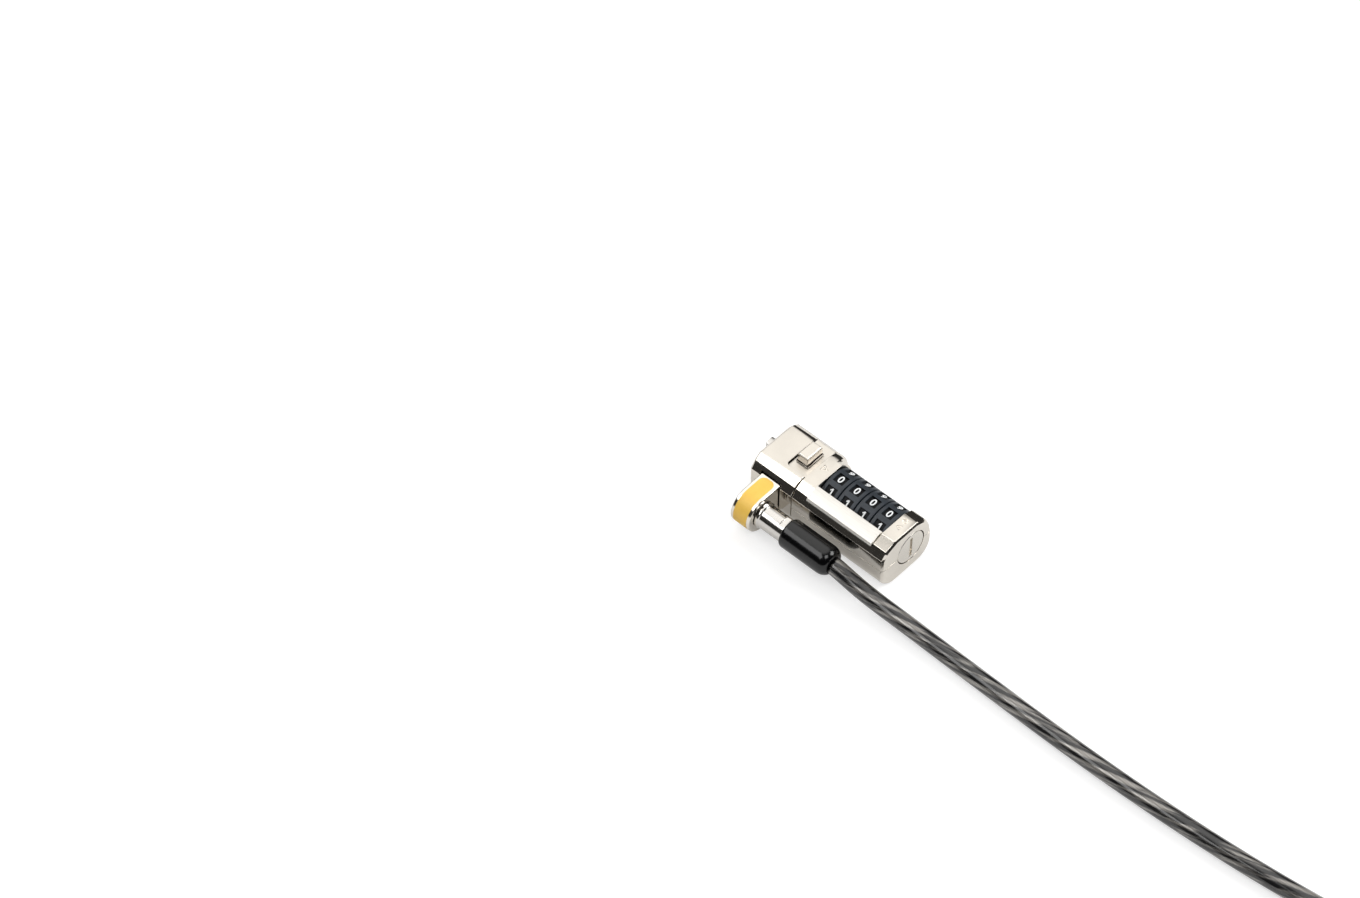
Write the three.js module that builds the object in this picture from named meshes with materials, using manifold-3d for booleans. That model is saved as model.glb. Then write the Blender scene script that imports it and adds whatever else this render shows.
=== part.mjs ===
// A four-dial cable lock for a laptop's security slot, with a swivelling cable anchor and 1.8 m of cable.
// Millimetres. +X runs along the lock from its nose to its slotted end, +Y is the side away from the cable
// and +Z is up. Inside the file x is counted from where the T-bar's neck enters the nose, y from the middle
// of the body and z from the flat underside; the last lines move the origin to the middle of the underside.
import * as THREE from 'three';
import { mergeVertices } from 'three/addons/utils/BufferGeometryUtils.js';
import Module from 'manifold-3d';

const wasm = await Module();
wasm.setup();

// ---------------------------------------------------------------- driving dimensions

const gap = 0.2; // running gap between pieces that turn or slide
const seat = 0.1; // gap between pieces that are fixed to each other
const reach = 2; // how far a cutting solid sticks out of what it cuts

// Body
const noseStart = -1.2;
const bodyLength = 45; // from x = 0 to the slotted end
const nearWidth = 9.2; // from the middle to the side with the name plate
const farWidth = 10; // and to the other side
const bodyHeight = 15.7;
const footRadius = 5; // rounded lower edges
const nearFlatAtNose = 5.5; // the flat top narrows from the nose to the end
const farFlatAtNose = 6.3;
const flatAtEnd = 4.1;
const bulgeEnd = 15.2; // the far shoulder bulges from the nose to here
const bulgeFade = 1.5;
const endBevel = 0.6;
const noseBevel = 0.7;
const partingLine = 13.4; // between nose block and dial housing
const splitHeight = 7.8; // between dial housing and base shell
const linesWide = 0.2; // width of the two parting lines

// Dials
const dialCount = 4;
const digitCount = 10;
const dialPitch = 5.53;
const dialSpacing = 0.3; // from one dial to the next
const dialWidth = dialPitch - dialSpacing;
const dialRadius = 7.45;
const digitDepth = 0.3; // of the flats under the digits
const digitFlat = dialRadius - digitDepth;
const ridgeHalfAngle = 6; // degrees
const hubRadius = 4.2;
const hubWidth = dialWidth - 0.7;
const gateWidth = 1.1;
const gateDepth = 0.9;
const spindleRadius = 2.2;
const windowStart = 17.9;
const windowEndPlay = 0.28; // from the last dial to the window's end
const firstDial = windowStart + gap + dialWidth / 2;
const windowEnd = firstDial + (dialCount - 1) * dialPitch + dialWidth / 2 + windowEndPlay;
const windowNearEdge = -4.15;
const windowSill = splitHeight + 0.8; // lowest point of the window on the far side

// The axis that the T-bar, the dials and the reset disc share
const axisY = 2;
const chamberFloor = 0.5; // wall under the dials
const axisZ = chamberFloor + gap + dialRadius;

// Bushing in the nose, the collar that swings on it, and the ferrule that turns in the collar
const noseWall = 2.4;
const bushingRadius = 3.1;
const collarWall = 1.4;
const collarRingRadius = bushingRadius + gap + collarWall;
const collarPlay = 0.25; // each side of the collar in its slot
const collarWidth = 6.5;
const collarStart = noseWall + collarPlay;
const collarEnd = collarStart + collarWidth;
const collarBevel = 0.35;
const ferruleY = -15.1;
const ferruleZ = 6.8;
const ferruleRadius = 3.45;
const ferruleEnd = 20;
const spigotRadius = ferruleRadius - 0.85;
const clipRadius = spigotRadius + 1;
const clipThickness = 0.4;
const clipGroove = spigotRadius - 0.5;
const collarHubRadius = clipRadius + gap + 1.8;

// Nose block
const slotEnd = collarEnd + collarPlay;
const slotCeiling = Math.max(axisZ + collarRingRadius, ferruleZ + collarHubRadius) + collarPlay;
const slotFarWall = axisY + collarRingRadius + 1.2;
const pocketStart = 6.9;
const pocketDepth = 0.8;
const pocketCorner = 1;
const guardStart = noseStart + 0.2;
const guardRadius = bushingRadius + 0.8;
const guardThickness = 1.3;
const lugWidth = 1.7;
const lugHeight = 2.5;

// T-bar and the slide button that turns it
const shaftRadius = 1.5;
const neckRadius = 1.25;
const lugInner = neckRadius + gap + 0.15;
const lugOuter = lugInner + lugWidth;
const shaftTipRadius = 0.95; // inside the crank
const headLength = 6.4;
const headWidth = 2.7;
const headThickness = 1.7;
const headGap = 1.4; // between the nose face and the head: the laptop's wall
const lugReach = headGap - gap; // out of the nose face, to just short of the head
const buttonTravel = 2.5; // towards the near side
const buttonY = 2.05;
const buttonStepStart = pocketStart + 0.85;
const buttonStepLength = 4.1;
const buttonStepEnd = buttonStepStart + buttonStepLength;
const buttonStepWidth = 6.4;
const buttonStepHeight = 0.45;
const buttonLedge = 0.35; // of the step, at both ends of the cap
const buttonCapStart = buttonStepStart + buttonLedge;
const buttonCapEnd = buttonStepEnd - buttonLedge;
const buttonCapWidth = buttonStepWidth - 0.5;
const buttonCapHeight = 2.75;
const buttonCapBevel = 0.35;
const pocketNearEdge = buttonY - buttonStepWidth / 2 - buttonTravel - gap;
const crankStart = slotEnd + 1;
const crankThickness = 0.5;
const drivePinRadius = 0.45;
const forkThickness = 0.5;
const forkWidth = 2.2;

// Fence bar inside the spindle
const fenceWidth = 0.7;
const fenceBottom = 0.25;
const fenceTop = spindleRadius - 0.45;
const fenceSpringThickness = 0.25;
const fenceSlotBottom = -0.95;

// Detent comb
const combThickness = 0.4;
const combBottom = 4.2;
const combTop = 7.4;
const combY = axisY - dialRadius - 1.15;

// End with the reset disc
const resetRadius = 5;
const resetThickness = 1.6;
const resetRecess = 3.4;
const resetSlotLength = 2 * resetRadius - 2.8;
const resetSlotWidth = 0.9;
const resetSlotDepth = 0.7;
const resetStemRadius = 1.3;
const waveHeight = 0.3;
const waveThickness = 0.3;

// Name plate
const plateThickness = 0.75;

// Pins that hold the two shells together
const basePinRadius = 0.6;
const basePinBottom = 1.2;
const basePinTop = 11;

// Yellow band on the collar, and the boot on the ferrule
const bandMargin = 0.9; // from the band to the collar's sides
const bandStart = collarStart + bandMargin;
const bandEnd = collarEnd - bandMargin;
const bandDepth = 0.6;
const bandFirstY = -9; // where the band starts on the collar's top
const bandLastAngle = 220; // where it ends on the collar's round end, in degrees
const bootRadius = ferruleRadius + 0.8;
const bootStart = ferruleEnd - 2;
const bootEnd = 33.6;
const bootRound = 1.6;
const bootNose = 2.8;

// Cable
const cableRadius = 2.5;
const cableEndGap = 0.3;
const hankCentreX = 283;
const hankCentreY = -27;
const hankStraight = 29; // length of the straight part of each run
const hankInnerRadius = 15.2;
const hankPitch = 5.85; // between neighbouring turns
const hankLayer = 5.5; // between layers
const hankTurns = 7.9;
const topLift = 1.8; // extra height of the last part turn, which carries the sleeve
const turnsPerLayer = 2;
const waistIn = 1.6;
const waistLift = 1.4;
const sleeveLength = 14;
const sleeveWall = 0.6;
const eyeLength = 40;
const eyeHalfWidth = 13;
const tieWidth = 9;
const tieThickness = 0.5;

// ---------------------------------------------------------------- materials

function metal(colour, roughness) {
  return new THREE.MeshStandardMaterial({ color: colour, metalness: 1, roughness });
}

function plastic(colour, roughness) {
  return new THREE.MeshStandardMaterial({ color: colour, metalness: 0, roughness });
}

const nickel = metal(0xd9d4cb, 0.22);
const brightPlate = metal(0xf2efe8, 0.15);
const steel = metal(0xb4b2ae, 0.35);
const springSteel = metal(0x8f8f90, 0.4);
const brass = metal(0xb8954d, 0.35);
const dialGrey = plastic(0x3b434b, 0.5);
const yellow = plastic(0xf6c95a, 0.45);
const bootBlack = plastic(0x101214, 0.18);
const sheath = plastic(0x3a3a3a, 0.25);
const tieBlack = plastic(0x1c1c1e, 0.8);

// ---------------------------------------------------------------- shapes

// A solid that can be joined and cut, from a closed three.js geometry.
function solid(geometry) {
  const bare = geometry.index ? geometry.toNonIndexed() : geometry.clone();
  bare.deleteAttribute('normal');
  bare.deleteAttribute('uv');
  const merged = mergeVertices(bare, 1e-4);
  const vertProperties = new Float32Array(merged.attributes.position.array);
  const triVerts = new Uint32Array(merged.index.array);
  return new wasm.Manifold(new wasm.Mesh({ numProp: 3, vertProperties, triVerts }));
}

function geometryOf(made) {
  const { vertProperties, triVerts } = made.getMesh();
  const geometry = new THREE.BufferGeometry();
  geometry.setAttribute('position', new THREE.BufferAttribute(new Float32Array(vertProperties), 3));
  geometry.setIndex(new THREE.BufferAttribute(new Uint32Array(triVerts), 1));
  const flat = geometry.toNonIndexed();
  flat.computeVertexNormals();
  return flat;
}

function cut(base, ...tools) {
  return tools.reduce((made, tool) => made.subtract(tool), base);
}

function join(base, ...more) {
  return more.reduce((made, piece) => made.add(piece), base);
}

// Points of an arc in a plane, from one angle to another in degrees.
function arc(centreA, centreB, radius, from, to, steps) {
  const points = [];
  for (let i = 0; i <= steps; i += 1) {
    const angle = THREE.MathUtils.degToRad(from + ((to - from) * i) / steps);
    points.push(new THREE.Vector2(centreA + radius * Math.cos(angle), centreB + radius * Math.sin(angle)));
  }
  return points;
}

function circle(centreA, centreB, radius, sides) {
  return arc(centreA, centreB, radius, 0, 360, sides).slice(0, -1);
}

// An outline in the y-z plane, with holes, pushed along +X.
const alongXBasis = new THREE.Matrix4().makeBasis(
  new THREE.Vector3(0, 1, 0),
  new THREE.Vector3(0, 0, 1),
  new THREE.Vector3(1, 0, 0),
);

function alongX(outline, start, end, { holes = [], bevel = 0 } = {}) {
  const shape = new THREE.Shape(outline);
  shape.holes = holes.map((points) => new THREE.Path(points));
  const geometry = new THREE.ExtrudeGeometry(shape, {
    depth: end - start - 2 * bevel,
    bevelEnabled: bevel > 0,
    bevelThickness: bevel,
    bevelSize: bevel,
    bevelOffset: -bevel,
    bevelSegments: 1,
  });
  geometry.translate(0, 0, start + bevel);
  return geometry.applyMatrix4(alongXBasis);
}

function rod(centreY, centreZ, radius, start, end, sides = 32) {
  return alongX(circle(centreY, centreZ, radius, sides), start, end);
}

function tube(centreY, centreZ, outer, inner, start, end, sides = 32) {
  return alongX(circle(centreY, centreZ, outer, sides), start, end, {
    holes: [circle(centreY, centreZ, inner, sides)],
  });
}

function box(x0, x1, y0, y1, z0, z1) {
  const geometry = new THREE.BoxGeometry(x1 - x0, y1 - y0, z1 - z0);
  return geometry.translate((x0 + x1) / 2, (y0 + y1) / 2, (z0 + z1) / 2);
}

// A round piece on an axis along X, from points of distance along the axis and radius.
function turned(points, centreY, centreZ, segments = 32) {
  const profile = points.map(([along, radius]) => new THREE.Vector2(radius, along));
  const geometry = new THREE.LatheGeometry(profile, segments);
  geometry.rotateZ(-Math.PI / 2);
  return geometry.translate(0, centreY, centreZ);
}

// A vertical pin.
function upright(x, y, radius, bottom, top, sides = 16) {
  const geometry = new THREE.CylinderGeometry(radius, radius, top - bottom, sides);
  geometry.rotateX(Math.PI / 2);
  return geometry.translate(x, y, (bottom + top) / 2);
}

// A cable: a round section along a smooth curve.
function cable(points, radius, sides, steps) {
  const curve = new THREE.CatmullRomCurve3(points, false, 'centripetal');
  curve.arcLengthDivisions = 12 * points.length;
  const section = new THREE.Shape(circle(0, 0, radius, sides));
  return new THREE.ExtrudeGeometry(section, { steps, bevelEnabled: false, extrudePath: curve });
}

function lengthOf(points) {
  const curve = new THREE.CatmullRomCurve3(points, false, 'centripetal');
  curve.arcLengthDivisions = 12 * points.length;
  return curve.getLength();
}

// ---------------------------------------------------------------- the scene graph

const part = new THREE.Group();
const lock = new THREE.Group(); // everything, counted from the nose face
part.add(lock);

function place(name, made, material) {
  const geometry = made.isBufferGeometry ? made : geometryOf(made);
  const mesh = new THREE.Mesh(geometry, material);
  mesh.name = name;
  lock.add(mesh);
  return mesh;
}

// ---------------------------------------------------------------- body outline

// Points of the section, from the underside's middle up the far side and down the near side. The bulged
// one has the same number of points, so that stations along the body can blend the two.
const nearShoulderY = nearWidth - 1.6; // where the near side meets the slanted shoulder
const nearShoulderZ = bodyHeight - 1.43;
const nearFacetZ = 12; // where the leaning facet under the shoulder meets the upright side

function bodyOutline(bulged) {
  // Each pair is how far a point stands out from the side, and how far it lies under the top.
  const farSide = bulged
    ? [[0.4, bodyHeight - splitHeight], [0.6, 5.2], [0.2, 3.3], [-0.9, 1.5], [-2.3, 0.5]]
    : [[0, bodyHeight - splitHeight], [-0.7, 4.5], [-1.3, 3.2], [-1.9, 2.1], [-2.5, 1.4]];
  const nearSide = [
    [nearShoulderY - nearWidth, bodyHeight - nearShoulderZ],
    [0, bodyHeight - nearFacetZ],
    [0, bodyHeight - splitHeight],
  ];
  return [
    ...arc(farWidth - footRadius, footRadius, footRadius, -90, 0, 7),
    ...farSide.map(([out, down]) => new THREE.Vector2(farWidth + out, bodyHeight - down)),
    new THREE.Vector2(farFlatAtNose, bodyHeight),
    new THREE.Vector2(-nearFlatAtNose, bodyHeight),
    ...nearSide.map(([out, down]) => new THREE.Vector2(-nearWidth - out, bodyHeight - down)),
    ...arc(footRadius - nearWidth, footRadius, footRadius, 180, 270, 7),
  ];
}

// The body's outline carried along X through stations. Each station can draw in its sides, top and bottom,
// and its bulge goes from 0 to 1. The flat top narrows steadily from the nose to the end.
function bodySolid(stations) {
  const plain = bodyOutline(false);
  const bulged = bodyOutline(true);
  const steps = stations.length - 1;
  const geometry = new THREE.ExtrudeGeometry(new THREE.Shape(plain), {
    depth: steps,
    steps,
    bevelEnabled: false,
  });
  const at = geometry.attributes.position;
  for (let i = 0; i < at.count; i += 1) {
    const { x, near = 0, far = 0, top = 0, bottom = 0, bulge = 0 } = stations[Math.round(at.getZ(i))];
    const index = plain.findIndex(
      (point) => Math.hypot(point.x - at.getX(i), point.y - at.getY(i)) < 1e-4,
    );
    let y = THREE.MathUtils.lerp(plain[index].x, bulged[index].x, bulge);
    let z = THREE.MathUtils.lerp(plain[index].y, bulged[index].y, bulge);
    if (z > bodyHeight - 0.01) {
      y = THREE.MathUtils.lerp(y, Math.sign(y) * flatAtEnd, x / bodyLength);
    }
    y = THREE.MathUtils.mapLinear(y, -nearWidth, farWidth, near - nearWidth, farWidth - far);
    z = THREE.MathUtils.mapLinear(z, 0, bodyHeight, bottom, bodyHeight - top);
    at.setXYZ(i, x, y, z);
  }
  return solid(geometry);
}

function drawnIn(inset) {
  return { near: inset, far: inset, top: inset, bottom: inset };
}

const lineBevel = 0.15; // tiny bevel along the parting lines

// ---------------------------------------------------------------- nose block

const pocketFloor = bodyHeight - pocketDepth;
const noseEnd = partingLine - linesWide / 2;
const shaftHole = shaftRadius + gap;
const crankEnd = crankStart + crankThickness;
const forkStart = crankEnd + gap;
const forkEnd = forkStart + forkThickness;

// The crank pin swings from one side of the top to the other, an eighth of a turn each way.
const crankArm = buttonTravel / 2 / Math.sin(Math.PI / 4);
const drivePinY = axisY + crankArm * Math.sin(Math.PI / 4);
const drivePinZ = axisZ + crankArm * Math.cos(Math.PI / 4);
const crankRadius = crankArm + drivePinRadius + 0.48;

// The button's pocket is open to the parting line and to the far side, and has one rounded corner.
const pocketOutline = [
  ...arc(pocketStart + pocketCorner, pocketNearEdge + pocketCorner, pocketCorner, 180, 270, 6),
  new THREE.Vector2(partingLine + reach, pocketNearEdge),
  new THREE.Vector2(partingLine + reach, bodyLength),
  new THREE.Vector2(pocketStart, bodyLength),
];
const pocket = solid(
  new THREE.ExtrudeGeometry(new THREE.Shape(pocketOutline), {
    depth: bodyHeight,
    bevelEnabled: false,
  }).translate(0, 0, pocketFloor),
);

const noseBlock = cut(
  bodySolid([
    { x: noseStart, bulge: 1, ...drawnIn(noseBevel) },
    { x: noseStart + noseBevel, bulge: 1 },
    { x: noseEnd - lineBevel, bulge: 1 },
    { x: noseEnd, bulge: 1, ...drawnIn(lineBevel) },
  ]),
  solid(box(noseWall, slotEnd, -bodyLength, slotFarWall, -reach, slotCeiling)),
  solid(rod(axisY, axisZ, guardRadius + seat, noseStart - reach, guardStart + guardThickness + seat)),
  solid(rod(axisY, axisZ, bushingRadius + seat, noseStart - reach, crankStart - gap)),
  solid(rod(axisY, axisZ, crankRadius + gap, crankStart - gap, partingLine + reach)),
  solid(
    box(
      forkStart - gap,
      forkEnd + gap,
      drivePinY - forkWidth / 2 - buttonTravel - gap,
      drivePinY + forkWidth / 2 + gap,
      axisZ,
      bodyHeight + reach,
    ),
  ),
  pocket,
);
place('nose_block', noseBlock, nickel);

// The steel guard plate, with two lugs that fill the laptop's slot beside the T-bar's neck.
const lug = (side) =>
  solid(
    box(
      noseStart - lugReach,
      guardStart + guardThickness / 2,
      axisY + (side > 0 ? lugInner : -lugOuter),
      axisY + (side > 0 ? lugOuter : -lugInner),
      axisZ - lugHeight / 2,
      axisZ + lugHeight / 2,
    ),
  );
const guardPlate = cut(
  join(
    solid(rod(axisY, axisZ, guardRadius, guardStart, guardStart + guardThickness)),
    lug(1),
    lug(-1),
  ),
  solid(rod(axisY, axisZ, neckRadius + gap, noseStart - 2 * reach, noseWall)),
);
place('nose_guard', guardPlate, steel);

const bushingStart = guardStart + guardThickness + gap;
const bushingEnd = crankStart - 2 * gap;
place(
  'neck_bushing',
  tube(axisY, axisZ, bushingRadius, shaftHole, bushingStart, bushingEnd),
  brass,
);

// ---------------------------------------------------------------- T-bar, crank and slide button

const headEnd = noseStart - headGap;
const tBar = join(
  solid(
    box(
      headEnd - headThickness,
      headEnd,
      axisY - headWidth / 2,
      axisY + headWidth / 2,
      axisZ - headLength / 2,
      axisZ + headLength / 2,
    ),
  ).intersect(solid(rod(axisY, axisZ, headLength / 2, headEnd - 2 * headThickness, headEnd + reach, 40))),
  solid(rod(axisY, axisZ, neckRadius, headEnd - headThickness / 2, bushingStart + 1)),
  solid(rod(axisY, axisZ, shaftRadius, bushingStart, crankStart - seat)),
  solid(rod(axisY, axisZ, shaftTipRadius, bushingStart, crankEnd)),
);
place('t_bar', tBar, steel);

const crank = cut(
  solid(rod(axisY, axisZ, crankRadius, crankStart, crankEnd)),
  solid(rod(axisY, axisZ, shaftTipRadius + seat, crankStart - reach, crankEnd + reach)),
  solid(rod(drivePinY, drivePinZ, drivePinRadius + seat, crankStart - reach, crankEnd + reach, 16)),
  solid(box(crankStart - reach, crankEnd + reach, axisY - 5, axisY + 5, axisZ - 5, axisZ - shaftRadius)),
);
place('crank', crank, steel);
place('drive_pin', rod(drivePinY, drivePinZ, drivePinRadius, crankStart, forkEnd, 16), springSteel);

// A block of the button, from one height to another, with its top edges bevelled.
function buttonBlock(x0, x1, width, bottom, top, bevel) {
  const outline = [
    new THREE.Vector2(x0, -width / 2),
    new THREE.Vector2(x1, -width / 2),
    new THREE.Vector2(x1, width / 2),
    new THREE.Vector2(x0, width / 2),
  ];
  const geometry = new THREE.ExtrudeGeometry(new THREE.Shape(outline), {
    depth: top - bottom - bevel,
    bevelThickness: bevel,
    bevelSize: bevel,
    bevelOffset: -bevel,
    bevelSegments: 1,
  });
  const underneath = solid(box(0, bodyLength, -bodyLength, bodyLength, -reach, bottom));
  return cut(solid(geometry.translate(0, buttonY, bottom)), underneath);
}

const buttonBottom = pocketFloor + gap;
const buttonStepTop = buttonBottom + buttonStepHeight;
const buttonSeam = 0.3; // how far the button's blocks run into each other
const forkPlay = 0.12;
const forkSlotTop = axisZ + crankArm + drivePinRadius + gap;
const slideButton = cut(
  join(
    buttonBlock(buttonStepStart, buttonStepEnd, buttonStepWidth, buttonBottom, buttonStepTop, 0.12),
    buttonBlock(
      buttonCapStart,
      buttonCapEnd,
      buttonCapWidth,
      buttonStepTop - buttonSeam,
      buttonStepTop + buttonCapHeight,
      buttonCapBevel,
    ),
    solid(
      box(
        forkStart,
        forkEnd,
        drivePinY - forkWidth / 2,
        drivePinY + forkWidth / 2,
        axisZ + 0.4,
        buttonBottom + buttonSeam,
      ),
    ),
  ),
  solid(
    box(
      forkStart - 0.05,
      forkEnd + 0.05,
      drivePinY - drivePinRadius - forkPlay,
      drivePinY + drivePinRadius + forkPlay,
      axisZ - reach,
      forkSlotTop,
    ),
  ),
);
place('slide_button', slideButton, nickel);

// ---------------------------------------------------------------- dial housing and base shell

const housingStart = partingLine + linesWide / 2;
const chamberRadius = dialRadius + gap;
const frontWallEnd = windowStart;
const spindleStart = housingStart + 1;
const spindleEnd = windowEnd + 1;
const recessStart = bodyLength - resetRecess;

const dialBody = bodySolid([
  { x: housingStart, bulge: 1, ...drawnIn(lineBevel) },
  { x: housingStart + lineBevel, bulge: 1 },
  { x: bulgeEnd, bulge: 1 },
  { x: bulgeEnd + 0.6 * bulgeFade, bulge: 0.65 },
  { x: bulgeEnd + bulgeFade, bulge: 0 },
  { x: bodyLength - endBevel },
  { x: bodyLength, near: endBevel, far: 0.6 * endBevel, top: endBevel, bottom: 0.3 * endBevel },
]);

const bodyHollows = [
  solid(rod(axisY, axisZ, chamberRadius, windowStart, windowEnd, 48)),
  solid(rod(axisY, axisZ, spindleRadius + seat, spindleStart - seat, recessStart + reach)),
  solid(rod(axisY, axisZ, resetRadius + gap, recessStart, bodyLength + reach, 48)),
];

const frontPinX = (housingStart + frontWallEnd) / 2;
const endPinX = bodyLength - 2.4;
const basePinPlaces = [
  [frontPinX, 3 - nearWidth],
  [frontPinX, farWidth - 3.5],
  [endPinX, axisY - resetRadius - 3],
  [endPinX, axisY + resetRadius + 1],
];
const basePinHoles = basePinPlaces.map(([x, y]) =>
  solid(upright(x, y, basePinRadius + seat, -reach, basePinTop + seat)),
);

// Engraved marks beside the window: two small triangles that point at the reading line, and a ring.
const markDepth = 0.2;
const markLine = 0.35;

function engraved(outer, inner) {
  const shape = new THREE.Shape(outer);
  shape.holes = [new THREE.Path(inner)];
  const geometry = new THREE.ExtrudeGeometry(shape, { depth: reach, bevelEnabled: false });
  return solid(geometry.translate(0, 0, bodyHeight - markDepth));
}

function triangleMark(x, y, size, turn) {
  const corners = (radius) => arc(x, y, radius, turn, turn + 360, 3).slice(0, -1);
  return engraved(corners(size), corners(size - 2 * markLine));
}

function ringMark(x, y, size) {
  return engraved(circle(x, y, size, 20), circle(x, y, size - markLine, 20));
}

const endMarkX = windowEnd + 1.9;
const marks = [
  triangleMark(windowStart - 2.7, 1.6, 1.3, 0),
  triangleMark(endMarkX, 0.2, 1, 180),
  ringMark(endMarkX, 2.6, 0.8),
];

const combPocket = solid(
  box(
    windowStart - 0.01,
    windowEnd + 0.01,
    combY - combThickness - seat,
    axisY,
    combBottom - seat,
    splitHeight + reach,
  ),
).intersect(solid(box(0, bodyLength, -bodyLength, axisY - dialRadius + 1.6, 0, splitHeight)));

const above = solid(box(-reach, bodyLength + reach, -bodyLength, bodyLength, splitHeight, 2 * bodyHeight));
const below = solid(
  box(-reach, bodyLength + reach, -bodyLength, bodyLength, -reach, splitHeight - linesWide / 2),
);

const dialHousing = cut(
  dialBody.intersect(above),
  ...bodyHollows,
  ...basePinHoles,
  ...marks,
  solid(box(windowStart, windowEnd, windowNearEdge, bodyLength, windowSill, 2 * bodyHeight)),
);
place('dial_housing', dialHousing, nickel);

const baseShell = cut(dialBody.intersect(below), ...bodyHollows, ...basePinHoles, combPocket);
place('base_shell', baseShell, nickel);

basePinPlaces.forEach(([x, y], i) => {
  place(`base_pin_${i + 1}`, upright(x, y, basePinRadius, basePinBottom, basePinTop), steel);
});

// ---------------------------------------------------------------- name plate

// The plate hugs the near shoulder: over the strip of flat top, down the slant and round its lower edge.
function plateOutline() {
  const flatTop = bodyHeight + seat;
  const slantStart = flatAtEnd + 1.2;
  const inner = [
    new THREE.Vector2(windowNearEdge, flatTop),
    new THREE.Vector2(-slantStart, flatTop),
    new THREE.Vector2(-nearShoulderY - 0.12, nearShoulderZ + seat),
    new THREE.Vector2(-nearShoulderY - 0.68, nearShoulderZ - 0.7),
  ];
  const outer = [
    new THREE.Vector2(windowNearEdge, flatTop + plateThickness / 3),
    new THREE.Vector2(-slantStart - 0.8, flatTop + plateThickness / 6),
    new THREE.Vector2(-nearShoulderY - 0.7, nearShoulderZ + plateThickness * 0.75),
    new THREE.Vector2(-nearShoulderY - 1.15, nearShoulderZ - 0.3),
  ];
  return [...outer, ...inner.reverse()];
}
place('name_plate', alongX(plateOutline(), windowStart + 0.1, windowEnd - 0.1), brightPlate);

// ---------------------------------------------------------------- dials, hubs and spindle

function dialOutline() {
  const points = [];
  const step = 360 / digitCount;
  const flatHalf = step / 2 - ridgeHalfAngle - 2;
  const flatCorner = digitFlat / Math.cos(THREE.MathUtils.degToRad(flatHalf));
  for (let digit = 0; digit < digitCount; digit += 1) {
    const centre = 90 + digit * step;
    points.push(...arc(axisY, axisZ, flatCorner, centre - flatHalf, centre + flatHalf, 1));
    const ridge = centre + step / 2;
    points.push(...arc(axisY, axisZ, dialRadius, ridge - ridgeHalfAngle, ridge + ridgeHalfAngle, 2));
  }
  return points;
}

function hubOutline() {
  const bore = spindleRadius + gap;
  const gateHalf = THREE.MathUtils.radToDeg(Math.asin(gateWidth / 2 / bore));
  const gateTop = bore + gateDepth;
  const gateTopHalf = THREE.MathUtils.radToDeg(Math.asin(gateWidth / 2 / gateTop));
  return [
    ...arc(axisY, axisZ, gateTop, 90 + gateTopHalf, 90 - gateTopHalf, 1),
    ...arc(axisY, axisZ, bore, 90 - gateHalf, -270 + gateHalf, 26),
  ];
}

for (let i = 0; i < dialCount; i += 1) {
  const centre = firstDial + i * dialPitch;
  place(
    `dial_${i + 1}`,
    alongX(dialOutline(), centre - dialWidth / 2, centre + dialWidth / 2, {
      holes: [circle(axisY, axisZ, hubRadius + seat, 32)],
    }),
    dialGrey,
  );
  place(
    `dial_hub_${i + 1}`,
    alongX(circle(axisY, axisZ, hubRadius, 32), centre - hubWidth / 2, centre + hubWidth / 2, {
      holes: [hubOutline()],
    }),
    brass,
  );
}

const fenceSide = fenceWidth / 2 + seat;
const fenceStart = windowStart + 0.4;
const fenceEnd = windowEnd - 0.4;
const spindle = cut(
  solid(rod(axisY, axisZ, spindleRadius, spindleStart, spindleEnd)),
  solid(
    box(
      fenceStart - gap,
      fenceEnd + gap,
      axisY - fenceSide,
      axisY + fenceSide,
      axisZ + fenceSlotBottom,
      axisZ + spindleRadius + reach,
    ),
  ),
);
place('spindle', spindle, steel);
place(
  'fence_bar',
  box(
    fenceStart,
    fenceEnd,
    axisY - fenceWidth / 2,
    axisY + fenceWidth / 2,
    axisZ + fenceBottom,
    axisZ + fenceTop,
  ),
  steel,
);

// A bowed strip under the bar.
function fenceSpringGeometry() {
  const strip = new THREE.BoxGeometry(
    fenceEnd - fenceStart - 2,
    fenceWidth - seat,
    fenceSpringThickness,
    16,
    1,
    1,
  );
  const half = (fenceEnd - fenceStart - 2) / 2;
  const low = axisZ + fenceSlotBottom + seat + fenceSpringThickness / 2;
  const rise = fenceBottom - seat - fenceSlotBottom - seat - fenceSpringThickness;
  const at = strip.attributes.position;
  for (let i = 0; i < at.count; i += 1) {
    const share = at.getX(i) / half;
    at.setZ(i, at.getZ(i) + rise * (1 - share * share));
  }
  return strip.translate((fenceStart + fenceEnd) / 2, axisY, low);
}
place('fence_spring', fenceSpringGeometry(), springSteel);

// ---------------------------------------------------------------- detent comb

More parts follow.
